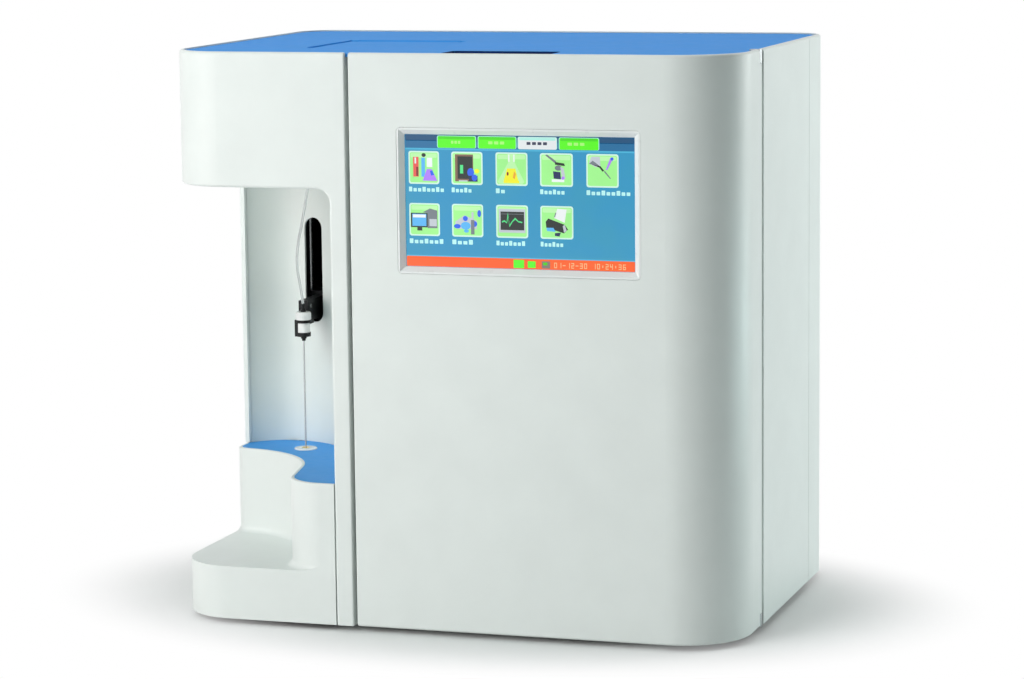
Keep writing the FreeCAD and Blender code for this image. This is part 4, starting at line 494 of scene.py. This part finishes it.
def add_turned(mesh, place, profile, axis="z", steps=40):
    """Turned surface added to a mesh, closed at radius 0; along y a distance runs towards the front."""
    turn = {"z": Matrix.Identity(3), "y": Matrix.Rotation(math.radians(90), 3, "X"),
            "x": Matrix.Rotation(math.radians(90), 3, "Y")}[axis]
    centre = Vector(place) * MM
    rings = []
    for radius, distance in profile:
        if radius <= 0:
            rings.append([mesh.verts.new(centre + turn @ (Vector((0, 0, distance)) * MM))])
            continue
        ring = []
        for step in range(steps):
            angle = 2 * math.pi * step / steps
            point = Vector((radius * math.cos(angle), radius * math.sin(angle), distance)) * MM
            ring.append(mesh.verts.new(centre + turn @ point))
        rings.append(ring)
    made = []
    for low, high in zip(rings, rings[1:]):
        for step in range(steps):
            after = (step + 1) % steps
            if len(low) == 1 and len(high) == 1:
                continue
            if len(low) == 1:
                made.append(mesh.faces.new((low[0], high[after], high[step])))
            elif len(high) == 1:
                made.append(mesh.faces.new((low[step], low[after], high[0])))
            else:
                made.append(mesh.faces.new((low[step], low[after], high[after], high[step])))
    for face in made:
        face.smooth = True
    bmesh.ops.recalc_face_normals(mesh, faces=made)


def add_block(mesh, low, high, bevel=0.3, index=0):
    """A block with bevelled edges, its corners in millimetres."""
    corners = bmesh.ops.create_cube(mesh, size=1.0)["verts"]
    low, high = Vector(low) * MM, Vector(high) * MM
    for corner in corners:
        corner.co = Vector((low[k] if corner.co[k] < 0 else high[k] for k in range(3)))
    faces = {face for corner in corners for face in corner.link_faces}
    for face in faces:
        face.material_index = index
    if bevel:
        edges = {edge for corner in corners for edge in corner.link_edges}
        done = bmesh.ops.bevel(mesh, geom=list(edges), offset=bevel * MM, segments=2, affect="EDGES",
                               profile=0.6)
        for face in done["faces"]:
            face.material_index = index


def blocks(name, body, slot, materials, shapes, bevel=0.3):
    """Several bevelled blocks as one piece; each shape is low, high and an optional material index."""
    mesh = bmesh.new()
    for shape in shapes:
        add_block(mesh, shape[0], shape[1], bevel, shape[2] if len(shape) > 2 else 0)
    return piece(name, mesh, body, slot, *materials)


def screw_heads(name, body, places, axis="y", radius=2.6, height=1.4, side=-1, material=None):
    """Pan-head screws, each with a dark cross on its head as painted shade of the cross recess; side is the
    way the head faces along its axis.
    """
    mesh = bmesh.new()
    drive = radius * 0.62
    for place in places:
        profile = [(0.0, -0.05), (radius, -0.05), (radius, height * 0.35), (radius * 0.86, height * 0.75),
                   (radius * 0.5, height * 0.96), (0.0, height)]
        flipped = [(r, side * d if axis != "y" else -side * d) for r, d in profile]
        add_turned(mesh, place, flipped, axis, 24)
        # A dark cross standing out from the head: painted shade of the cross recess
        for across in (0, 1):
            spread_out = [drive if across == k else radius * 0.14 for k in (0, 1)]
            low, high = [0.0] * 3, [0.0] * 3
            others = [k for k in range(3) if k != "xyz".index(axis)]
            for k, reach in zip(others, spread_out):
                low[k], high[k] = place[k] - reach, place[k] + reach
            k = "xyz".index(axis)
            ends = sorted((place[k] + side * height * 0.9, place[k] + side * (height + 0.06)))
            low[k], high[k] = ends
            add_block(mesh, low, high, 0.0, 1)
    return piece(name, mesh, body, "steel", material or steel, painted_recess_shade)


def tube_mesh(points, radius):
    """A smooth tube mesh along a NURBS line with the given points, in millimetres."""
    data = bpy.data.curves.new("route", "CURVE")
    data.dimensions = "3D"
    data.resolution_u = 16
    line = data.splines.new("NURBS")
    line.points.add(len(points) - 1)
    for point, target in zip(line.points, points):
        point.co = (target[0] * MM, target[1] * MM, target[2] * MM, 1.0)
    line.order_u = 3
    line.use_endpoint_u = True
    data.bevel_depth = radius * MM
    data.bevel_resolution = 2
    data.use_fill_caps = True
    holder = bpy.data.objects.new("route", data)
    made = bpy.data.meshes.new_from_object(holder)
    bpy.data.objects.remove(holder)
    bpy.data.curves.remove(data)
    return made


def hose(name, body, slot, material, runs, radius):
    """Smooth hoses along their runs, as one piece."""
    mesh = bmesh.new()
    for points in runs:
        part = tube_mesh(points, radius)
        mesh.from_mesh(part)
        bpy.data.meshes.remove(part)
    for face in mesh.faces:
        face.smooth = True
        face.material_index = 0
    return piece(name, mesh, body, slot, material)


# Sampling unit: the tube, the fitting on the needle and the cap's grip

NEEDLE_X, NEEDLE_Y = -144.0, -15.5
HOLDER_Z = 178.6
BAY_TOP = 297.0
TUBE_X = -134.7
TUBE_LOW = HOLDER_Z + 21.9
TUBE_RADIUS = 1.0
CAP_RADIUS = 5.2
CAP_RIBS = 24
RIB_GAP = 0.02
PORT_TOP = 100.0
# Dark grey: painted shade for the hollow of a cross recess, drawn as a dark cross on a screw head
painted_recess_shade = moulded("painted_recess_shade", (0.03, 0.03, 0.03), 0.6, 0.6, 0.004, 0.9)
sample_line = bpy.data.objects.new("sample_line", tube_mesh([
    (NEEDLE_X, NEEDLE_Y, TUBE_LOW),
    (NEEDLE_X - 1.0, NEEDLE_Y - 1.0, TUBE_LOW + 12),
    (NEEDLE_X - 3.5, NEEDLE_Y - 2.0, TUBE_LOW + 26),
    (NEEDLE_X - 2.5, NEEDLE_Y - 2.0, TUBE_LOW + 42),
    (NEEDLE_X + 1.0, NEEDLE_Y - 1.0, TUBE_LOW + 58),
    (TUBE_X - 3.5, NEEDLE_Y - 0.3, BAY_TOP - 12),
    (TUBE_X, NEEDLE_Y, BAY_TOP + 6),
], TUBE_RADIUS))
bpy.context.scene.collection.objects.link(sample_line)
sample_line.data.materials.clear()
sample_line.data.materials.append(tube_clear)
for polygon in sample_line.data.polygons:
    polygon.use_smooth = True
    polygon.material_index = 0
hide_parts("sample_tube")
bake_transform(sample_line)

turned("needle_fitting", "needle_unit", "black_plastic", black_plastic, (NEEDLE_X, NEEDLE_Y, HOLDER_Z), [
    (0.0, 17.15), (2.0, 17.15), (2.0, 17.8), (1.75, 18.4), (1.7, 18.5), (1.15, 19.1), (1.15, 22.6),
    (0.0, 22.8)])
ribs = bmesh.new()
for step in range(CAP_RIBS):
    angle = 2 * math.pi * step / CAP_RIBS
    rib_x = NEEDLE_X + (CAP_RADIUS + RIB_GAP) * math.cos(angle)
    rib_y = NEEDLE_Y + (CAP_RADIUS + RIB_GAP) * math.sin(angle)
    add_turned(ribs, (rib_x, rib_y, HOLDER_Z), [(0.0, 11.9), (0.24, 12.1), (0.24, 16.0), (0.0, 16.3)], "z", 8)
piece("holder_cap_ribs", ribs, "needle_unit", "white_plastic", white_plastic)
turned("ceiling_grommet", "casing", "white_plastic", white_plastic, (TUBE_X - 0.4, NEEDLE_Y, BAY_TOP), [
    (1.3, -0.2), (1.3, -1.6), (2.6, -1.6), (3.6, -0.9), (3.8, 0.05), (1.3, 0.05)])
turned("port_seal", "casing", "steel", brass, (NEEDLE_X, NEEDLE_Y, PORT_TOP), [
    (1.5, -3.0), (1.5, 0.1), (1.8, 0.35), (2.7, 0.35), (3.0, 0.0)])

# Finger recess: a dark navy tray lining it, painted shade for the dark inside of the recess

GRIP_LOW, GRIP_HIGH = (-6.0, -124.0), (69.0, -92.0)
GRIP_FLOOR, GRIP_TOP = 363.6, 382.1
GRIP_RADIUS = 4.5
TRAY_GAP = 0.12


def tray(name, body, slot, material, low, high, floor_z, top_z, radius, wall=0.5):
    """An open tray inside a pocket, its rim just under the pocket's top."""
    mesh = bmesh.new()
    (x0, y0), (x1, y1) = low, high
    cx, cy = (x0 + x1) / 2, (y0 + y1) / 2
    rings = []
    for inset, z in ((TRAY_GAP, floor_z + 0.1), (TRAY_GAP, top_z), (TRAY_GAP + wall, top_z),
                     (TRAY_GAP + wall, floor_z + wall)):
        outline = ring_of(x1 - x0 - 2 * inset, y1 - y0 - 2 * inset, radius - inset, 6)
        rings.append([mesh.verts.new(Vector((cx + x, cy + y, z)) * MM) for x, y in outline])
    for low_ring, high_ring in zip(rings, rings[1:]):
        for step in range(len(low_ring)):
            after = (step + 1) % len(low_ring)
            mesh.faces.new((low_ring[step], low_ring[after], high_ring[after], high_ring[step]))
    mesh.faces.new(rings[0][::-1])
    mesh.faces.new(rings[-1])
    bmesh.ops.recalc_face_normals(mesh, faces=mesh.faces[:])
    return piece(name, mesh, body, slot, material)


# Dark navy with little specular: painted shade inside the finger recess
navy_recess_shade = moulded("navy_recess_painted_shade", (0.010, 0.045, 0.20), 0.6, 0.8, 0.02, 0.85, specular=0.1)
tray("finger_recess_shade_tray", "casing", "blue_top", navy_recess_shade, GRIP_LOW, GRIP_HIGH, GRIP_FLOOR, GRIP_TOP, GRIP_RADIUS)


# Door: screws, ribs and display connector inside, and the catch's strike plate

CARRIER_BACK = -119.4
screw_heads("carrier_screws", "door",
            [(x, CARRIER_BACK, z) for x in (-36.5, 137.5) for z in (235.0, 288.0, 340.5)], "y", 2.4, 1.3, 1)
blocks("door_ribs", "door", "casing", [casing],
       [((-44, -132.2, z), (148, -128.4, z + 2)) for z in (60, 120, 180)], 0.5)
blocks("catch_strike", "door", "steel", [steel], [((-60.0, -121.1, 183.0), (-57.0, -120.7, 204.0))], 0.1)
blocks("display_connector", "door", "white_plastic", [white_plastic, board_green], [
    ((60, CARRIER_BACK, 262), (96, -118.0, 312), 1), ((66, -118.1, 300), (90, -115.4, 306), 0),
    ((84, -118.1, 268), (92, -116.2, 292), 0)], 0.2)

# Compartment: screws, electrode contacts and wires, hoses, valve bands, and the reagent pack's band and caps

BULKHEAD_FACE = -62.0
BRACKET_X, BRACKET_Y = 181.0, -47.0
PUMP_X, PUMP_Z = 122.0, 172.0
ELECTRODE_X = (-42.6, -24.3, -6.0, 12.3, 30.6, 48.9)
ELECTRODE_Y = -83.0
ELECTRODE_TOP = 253.8
WIRE_RADIUS = 0.6
WIRE_PITCH = 3.2
PACK_CAPS = (-32.0, -8.0, 16.0, 40.0, 64.0)
PACK_TOP = (-88.0, 130.9)
VALVE_X = (100.0, 144.0)
VALVE_Z = 101.0
PINCH_Y = -102.4
PINCH_HALF = 6.0
HOSE_RADIUS = 1.5
screw_heads("bulkhead_screws", "casing", [(x, BULKHEAD_FACE, z) for x, z in (
    (-59, 20), (-59, 170), (-59, 290), (165, 20), (165, 190), (165, 350), (20, 358), (100, 358))])
screw_heads("bracket_screws", "casing", [(BRACKET_X, BRACKET_Y, 10.0)], "z", 2.2, 1.2, 1)
screw_heads("bracket_upper_screws", "casing", [(BRACKET_X, BRACKET_Y, 374.3)], "z", 2.2, 1.2, -1)
screw_heads("pump_screws", "casing", [(x, -88.0, z) for x in (95.0, 149.0) for z in (146.5, 198.0)],
            "y", 2.0, 1.1)
screw_heads("pump_hub_screw", "pump_rotor", [(PUMP_X, -91.0, PUMP_Z)], "y", 3.2)
contacts = bmesh.new()
for x in ELECTRODE_X:
    add_turned(contacts, (x, ELECTRODE_Y, ELECTRODE_TOP),
               [(0.0, 0.0), (2.9, 0.0), (2.9, 4.6), (2.2, 6.0), (1.0, 7.6), (0.0, 7.6)], "z", 20)
piece("electrode_contacts", contacts, "casing", "black_plastic", black_plastic)
hose("electrode_wires", "casing", "rubber", rubber, [
    [(x, ELECTRODE_Y, 260.5), (x, ELECTRODE_Y, 268), (x * 0.5 + 8, -78, 280),
     (15 + place * WIRE_PITCH, -72, 288), (15 + place * WIRE_PITCH, -67, 296)]
    for place, x in enumerate(ELECTRODE_X)], WIRE_RADIUS)
blocks("wire_connector", "casing", "black_plastic", [black_plastic, white_plastic], [
    ((11.5, -66.6, 292.0), (34.5, -61.95, 300.0), 0), ((9.5, -63.4, 290.0), (36.5, -61.95, 302.0), 1)])
caps = bmesh.new()
for x in PACK_CAPS:
    add_turned(caps, (x, *PACK_TOP), [(0.0, 0.0), (7.4, 0.0), (7.4, 2.2), (5.6, 2.6), (5.6, 5.6), (4.8, 6.4),
                                      (2.0, 6.4), (1.7, 9.0), (0.0, 9.0)], "z", 28)
piece("pack_caps", caps, "casing", "white_plastic", white_plastic)
blocks("pack_band", "casing", "pack", [pack_blue, pack_card], [
    ((-46.0, -112.25, 20.0), (81.0, -111.8, 52.0), 0), ((-46.0, -112.25, 56.0), (81.0, -111.8, 60.0), 0),
    ((-38.0, -112.4, 82.0), (6.0, -111.8, 106.0), 1)], 0.1)
hose("reagent_hoses", "casing", "tube", tube_clear, [
    [(40, -88, 139), (40, -88, 150), (58, -86, 160), (76, -80, 154), (87.5, -76, 142), (90, -76.5, 119),
     (94.5, -77.5, 115), (97.9, -77.5, 116), (97.9, -77.5, 121)],
    [(64, -88, 139), (64, -88, 148), (76, -92, 153), (86.9, -98, 143), (86.9, PINCH_Y, 120),
     (86.9, PINCH_Y, 104), (89, PINCH_Y, VALVE_Z), (94, PINCH_Y, VALVE_Z)],
    [(16, -88, 139), (16, -87, 156), (40, -82, 172), (70, -70, 178), (80, -66, 176),
     (84, BULKHEAD_FACE, 174)],
    [(-8, -88, 139), (-8, -87, 160), (-22, -80, 180), (-36, -72, 196), (-36, BULKHEAD_FACE, 200)],
    [(146.1, -77.5, 121), (146.1, -77.5, 117), (134, -84, 117), (129, -98, 114), (129, PINCH_Y, 104),
     (132, PINCH_Y, VALVE_Z), (138, PINCH_Y, VALVE_Z)],
    [(106, PINCH_Y, VALVE_Z), (111, PINCH_Y, VALVE_Z), (116, PINCH_Y, 96), (116, -98, 70), (113, -84, 40),
     (110, -70, 26), (110, BULKHEAD_FACE, 24)],
    [(150, PINCH_Y, VALVE_Z), (155, PINCH_Y, VALVE_Z), (160, PINCH_Y, 96), (159, -98, 72), (148, -84, 46),
     (134, -70, 34), (130, BULKHEAD_FACE, 32)],
    [(-45, BULKHEAD_FACE, 199.5), (-45, -74, 199), (-56, -82, 196), (-62.3, -84, 206), (-62.3, -83, 222),
     (-58, -83, 228)],
], HOSE_RADIUS)
for number, x in enumerate(VALVE_X, start=1):
    pinched = hose(f"pinch_hose_{number}", "casing", "tube", tube_clear,
                   [[(x + reach, PINCH_Y, VALVE_Z) for reach in (-PINCH_HALF, -2, 2, PINCH_HALF)]],
                   HOSE_RADIUS)
    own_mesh(pinched)
bands = bmesh.new()
for x in VALVE_X:
    add_turned(bands, (x, 0.0, VALVE_Z), [(10.9, 64.0), (11.25, 64.3), (11.25, 76.0), (10.9, 76.3)], "y")
piece("valve_bands", bands, "casing", "black_plastic", black_plastic)
grommets = bmesh.new()
for x, z in ((84, 174), (110, 24), (130, 32)):
    add_turned(grommets, (x, 0.0, z), [(1.4, 63.6), (3.4, 63.6), (4.2, 62.6), (4.2, 61.9), (1.4, 61.9)],
               "y", 24)
piece("bulkhead_grommets", grommets, "casing", "rubber", rubber)

# Printer under the lid: gear, tear bar, print head and the paper's path

PLATEN_Y, PLATEN_Z = -61.0, 373.5
GEAR_LEFT, GEAR_RIGHT = -110.3, -108.9
GEAR_POINTS = 36
TEAR_LEFT, TEAR_WIDTH, TEAR_Y = -104.0, 58, -70.45
TEAR_POINTS = 60
teeth = []
for step in range(GEAR_POINTS):
    angle = 2 * math.pi * step / GEAR_POINTS
    reach = 4.7 if step % 2 else 4.0
    teeth.append((reach * math.cos(angle), reach * math.sin(angle)))
gear = bmesh.new()
sides = [[gear.verts.new(Vector((x, PLATEN_Y + a, PLATEN_Z + b)) * MM) for a, b in teeth]
         for x in (GEAR_LEFT, GEAR_RIGHT)]
gear.faces.new(sides[0])
gear.faces.new(sides[1][::-1])
for step in range(GEAR_POINTS):
    after = (step + 1) % GEAR_POINTS
    gear.faces.new((sides[0][step], sides[0][after], sides[1][after], sides[1][step]))
bmesh.ops.recalc_face_normals(gear, faces=gear.faces[:])
piece("platen_gear", gear, "platen", "white_plastic", white_plastic)
tear = bmesh.new()
low_row, high_row = [], []
for step in range(TEAR_POINTS + 1):
    x = TEAR_LEFT + step * TEAR_WIDTH / TEAR_POINTS
    low_row.append(tear.verts.new(Vector((x, TEAR_Y, 374.0)) * MM))
    high_row.append(tear.verts.new(Vector((x, TEAR_Y, 379.6 if step % 2 else 378.8)) * MM))
for step in range(TEAR_POINTS):
    tear.faces.new((low_row[step], low_row[step + 1], high_row[step + 1], high_row[step]))
bmesh.ops.solidify(tear, geom=tear.faces[:], thickness=0.2 * MM)
piece("tear_bar", tear, "casing", "steel", steel)
blocks("print_head", "casing", "grey_plastic", [grey_plastic, brass], [
    ((-104, -64.5, 367.9), (-46, -57.5, 368.2), 0),
    ((-102.5, -61.3, 368.15), (-47.5, -60.7, 368.25), 1)], 0.05)
PAPER_LEFT, PAPER_RIGHT = -103.0, -47.0
PAPER_PATH = ((-12.6, 365.97), (-29.3, 367.12), (-46.0, 368.24), (-56.0, 368.25), (-61.5, 368.25),
              (-65.0, 369.2), (-66.9, 371.5), (-67.4, 374.0), (-67.6, 378.2))
strip = bmesh.new()
left_edge, right_edge = [[strip.verts.new(Vector((x, y, z)) * MM) for y, z in PAPER_PATH]
                         for x in (PAPER_LEFT, PAPER_RIGHT)]
for step in range(len(PAPER_PATH) - 1):
    face = strip.faces.new((left_edge[step], right_edge[step], right_edge[step + 1], left_edge[step + 1]))
    face.smooth = True
bmesh.ops.solidify(strip, geom=strip.faces[:], thickness=0.08 * MM)
piece("paper_strip", strip, "casing", "paper", paper)

# Back and underside: port shells, dark crosses painted as shade in the rear screws' recesses, fuse drawer and
# base screws

RECESS_HALF, RECESS_THIN = 1.7, 0.35
RECESS_Y = (134.6, 134.88)
SHELL_Y = (134.4, 134.9)
BASE_UNDERSIDE = 5.0
SCREW_SPOTS = [(x, z) for x in (-154.0, 154.0) for z in (18.0, 193.5, 359.0)]
PORTS = ((-110, 7.3, 60.6, 67.4, 0.9), (-70, 5.9, 58.1, 69.9, 0.8), (-42, 5.9, 59.4, 68.1, 1.2))
# Thin dark crosses at the rear screw spots: painted shade of their cross recesses
blocks("rear_recess_shades", "casing", "steel", [painted_recess_shade], [
    ((x - half_x, RECESS_Y[0], z - half_z), (x + half_x, RECESS_Y[1], z + half_z))
    for x, z in SCREW_SPOTS
    for half_x, half_z in ((RECESS_HALF, RECESS_THIN), (RECESS_THIN, RECESS_HALF))], 0.0)
shells = []
for x, half_x, low_z, high_z, rim in PORTS:
    for x0, x1, z0, z1 in ((x - half_x - rim, x - half_x, low_z - rim, high_z + rim),
                           (x + half_x, x + half_x + rim, low_z - rim, high_z + rim),
                           (x - half_x, x + half_x, low_z - rim, low_z),
                           (x - half_x, x + half_x, high_z, high_z + rim)):
        shells.append(((x0, SHELL_Y[0], z0), (x1, SHELL_Y[1], z1)))
blocks("port_shells", "casing", "steel", [zinc], shells, 0.08)
blocks("fuse_drawer", "casing", "black_plastic", [black_plastic, grey_plastic], [
    ((121.5, 134.2, 65.5), (142.5, 134.9, 77.5), 0), ((129.5, 134.6, 64.5), (134.5, 134.95, 66.3), 1)], 0.25)
screw_heads("base_screws", "casing", [(x, y, BASE_UNDERSIDE) for x, y in (
    (-100, 120), (0, 120), (100, 120), (-60, 30), (60, 30), (120, -10), (0, -50), (100, -90),
    (-20, -100))], "z")

# Boards and supply behind the bulkhead

BOARD_FACE = -34.5
SUPPLY_SLOTS = 8
SLOT_PITCH = 8
blocks("board_parts", "casing", "board", [black_plastic, white_plastic, zinc], [
    ((12, BOARD_FACE, 128), (34, -31.8, 146), 0), ((44, BOARD_FACE, 52), (52, -32.2, 84), 0),
    ((72, BOARD_FACE, 112), (108, -26.4, 120), 1), ((72, BOARD_FACE, 132), (100, -26.4, 140), 1),
    ((2, BOARD_FACE, 52), (10, -28.4, 84), 1), ((84, BOARD_FACE, 56), (104, -24.4, 72), 2),
    ((84, BOARD_FACE, 80), (104, -30.4, 96), 0)])
slot_starts = [96 + step * SLOT_PITCH for step in range(SUPPLY_SLOTS)]
# The supply's vent slots drawn as black bars: painted shade for the openings
vent_slot_shades = [((x, 24.9, 16), (x + 3, 25.4, 40), 0) for x in slot_starts]
blocks("supply_parts", "casing", "sheet_metal", [black_plastic, white_plastic],
       vent_slot_shades + [((92, 94.6, 14), (132, 100, 30), 1)], 0.1)
turned("pump_motor_cap", "casing", "steel", dark_steel, (PUMP_X, 0.0, PUMP_Z), [
    (0.0, 13.0), (5.0, 13.0), (6.0, 14.0), (6.0, 16.2), (17.6, 16.2), (18.2, 17.0), (18.2, 19.0),
    (17.8, 19.4)], "y")

# Needle arm: the screw that holds the clip

screw_heads("arm_screw", "needle_unit", [(-142.8, -3.6, 198.4)], "x", 1.5, 0.5, 1, dark_steel)


# Stage: floor, world, lamps and camera

def either(tree, *values):
    """The largest of some 0 or 1 values."""
    result = values[0]
    for value in values[1:]:
        node = tree.nodes.new("ShaderNodeMath")
        node.operation = "MAXIMUM"
        tree.links.new(result, node.inputs[0])
        tree.links.new(value, node.inputs[1])
        result = node.outputs["Value"]
    return result


FLOOR_NEAR, FLOOR_FAR = 0.135, 0.235
FLOOR_SQUEEZE = (0.70, 1.0, 1.0)


def stage_material():
    """Pale floor near the object that turns into the white background further out."""
    material, tree, shader = new_material("studio_floor")
    shader.inputs["Roughness"].default_value = 0.9
    shader.inputs["Specular IOR Level"].default_value = 0.1
    grain = spread(tree, noise(tree, 30.0, 3.0), 0.0, 1.0)
    tree.links.new(blended(tree, grain, (0.95, 0.95, 0.95), (0.93, 0.93, 0.93)), shader.inputs["Base Color"])
    position = tree.nodes.new("ShaderNodeTexCoord")
    footprint = tree.nodes.new("ShaderNodeVectorMath")
    footprint.operation = "MULTIPLY"
    footprint.inputs[1].default_value = FLOOR_SQUEEZE
    tree.links.new(position.outputs["Object"], footprint.inputs[0])
    length = tree.nodes.new("ShaderNodeVectorMath")
    length.operation = "LENGTH"
    tree.links.new(footprint.outputs["Vector"], length.inputs[0])
    fade = tree.nodes.new("ShaderNodeMapRange")
    fade.interpolation_type = "SMOOTHSTEP"
    fade.inputs["From Min"].default_value = FLOOR_NEAR
    fade.inputs["From Max"].default_value = FLOOR_FAR
    tree.links.new(length.outputs["Value"], fade.inputs["Value"])
    path = tree.nodes.new("ShaderNodeLightPath")
    seen = tree.nodes.new("ShaderNodeMath")
    seen.operation = "MULTIPLY"
    tree.links.new(fade.outputs["Result"], seen.inputs[0])
    shown = either(tree, path.outputs["Is Camera Ray"], path.outputs["Is Glossy Ray"],
                   path.outputs["Is Transmission Ray"])
    tree.links.new(shown, seen.inputs[1])
    white = tree.nodes.new("ShaderNodeEmission")
    mix = tree.nodes.new("ShaderNodeMixShader")
    tree.links.new(seen.outputs["Value"], mix.inputs["Fac"])
    tree.links.new(shader.outputs["BSDF"], mix.inputs[1])
    tree.links.new(white.outputs["Emission"], mix.inputs[2])
    tree.links.new(mix.outputs["Shader"], tree.nodes["Material Output"].inputs["Surface"])
    return material


floor = bmesh.new()
bmesh.ops.create_grid(floor, x_segments=1, y_segments=1, size=6.0)
floor_data = bpy.data.meshes.new("studio_floor")
floor.to_mesh(floor_data)
floor.free()
floor_data.materials.append(stage_material())
studio_floor = bpy.data.objects.new("studio_floor", floor_data)
bpy.context.scene.collection.objects.link(studio_floor)

world = bpy.data.worlds.new("studio")
bpy.context.scene.world = world
world.use_nodes = True
sky = world.node_tree
ambient = sky.nodes["Background"]
ambient.inputs["Color"].default_value = (0.75, 1.0, 1.0, 1.0)
ambient.inputs["Strength"].default_value = 0.02
backdrop = sky.nodes.new("ShaderNodeBackground")
backdrop.inputs["Color"].default_value = (1.0, 1.0, 1.0, 1.0)
rays = sky.nodes.new("ShaderNodeLightPath")
choice = sky.nodes.new("ShaderNodeMixShader")
shown = either(sky, rays.outputs["Is Camera Ray"], rays.outputs["Is Glossy Ray"],
               rays.outputs["Is Transmission Ray"])
sky.links.new(shown, choice.inputs["Fac"])
sky.links.new(ambient.outputs["Background"], choice.inputs[1])
sky.links.new(backdrop.outputs["Background"], choice.inputs[2])
sky.links.new(choice.outputs["Shader"], sky.nodes["World Output"].inputs["Surface"])


def lamp(name, place, target, size, power, colour=(1.0, 1.0, 1.0)):
    """A rectangular soft lamp that faces a target."""
    data = bpy.data.lights.new(name, "AREA")
    data.shape = "RECTANGLE"
    data.size, data.size_y = size
    data.energy = power
    data.color = colour
    light = bpy.data.objects.new(name, data)
    bpy.context.scene.collection.objects.link(light)
    light.location = place
    light.rotation_euler = (Vector(target) - Vector(place)).to_track_quat("-Z", "Y").to_euler()
    return light


MIDDLE = (0.0, 0.0, 0.19)
lamp("front_softbox", (-0.97, -0.97, 0.43), MIDDLE, (0.8, 0.9), 6.0, (1.0, 0.88, 0.87))
lamp("front_fill", (-0.62, -1.33, 0.50), MIDDLE, (0.6, 0.9), 3.2)
lamp("upper_softbox", (-0.65, -1.13, 1.28), MIDDLE, (0.9, 0.9), 8.7, (0.84, 1.0, 0.97))
lamp("right_softbox", (1.47, 1.03, 0.25), MIDDLE, (1.0, 0.7), 4.6, (0.96, 1.0, 0.97))
lamp("right_upper_softbox", (1.20, 1.20, 0.81), MIDDLE, (1.0, 1.2), 10.4, (0.97, 1.0, 0.98))
lamp("top_softbox", (-0.1, 0.2, 1.9), MIDDLE, (1.2, 1.0), 9.0)
lamp("low_right_bounce", (1.0, 0.35, 0.07), (0.19, 0.0, 0.03), (0.8, 0.12), 1.5, (0.7, 1.0, 1.0))
lamp("low_front_bounce", (-0.2, -1.2, 0.06), (0.0, -0.13, 0.03), (0.8, 0.10), 0.8, (0.9, 1.0, 1.0))

CAMERA_PLACE = (0.6821, -2.1380, 0.5070)
LENS = 116.05
YAW, PITCH, ROLL = math.radians(17.62), math.radians(8.32), math.radians(-0.62)
forward = Vector((-math.sin(YAW) * math.cos(PITCH), math.cos(YAW) * math.cos(PITCH), -math.sin(PITCH)))
level = Vector((math.cos(YAW), math.sin(YAW), 0.0))
upright = level.cross(forward)
across = level * math.cos(ROLL) + upright * math.sin(ROLL)
upward = upright * math.cos(ROLL) - level * math.sin(ROLL)
camera_data = bpy.data.cameras.new("camera")
camera_data.lens = LENS
camera_data.sensor_width = 36.0
camera = bpy.data.objects.new("camera", camera_data)
bpy.context.scene.collection.objects.link(camera)
turn = Matrix((across, upward, -forward)).transposed().to_4x4()
camera.matrix_world = Matrix.Translation(CAMERA_PLACE) @ turn
bpy.context.scene.camera = camera
bpy.context.scene.view_settings.view_transform = "Standard"
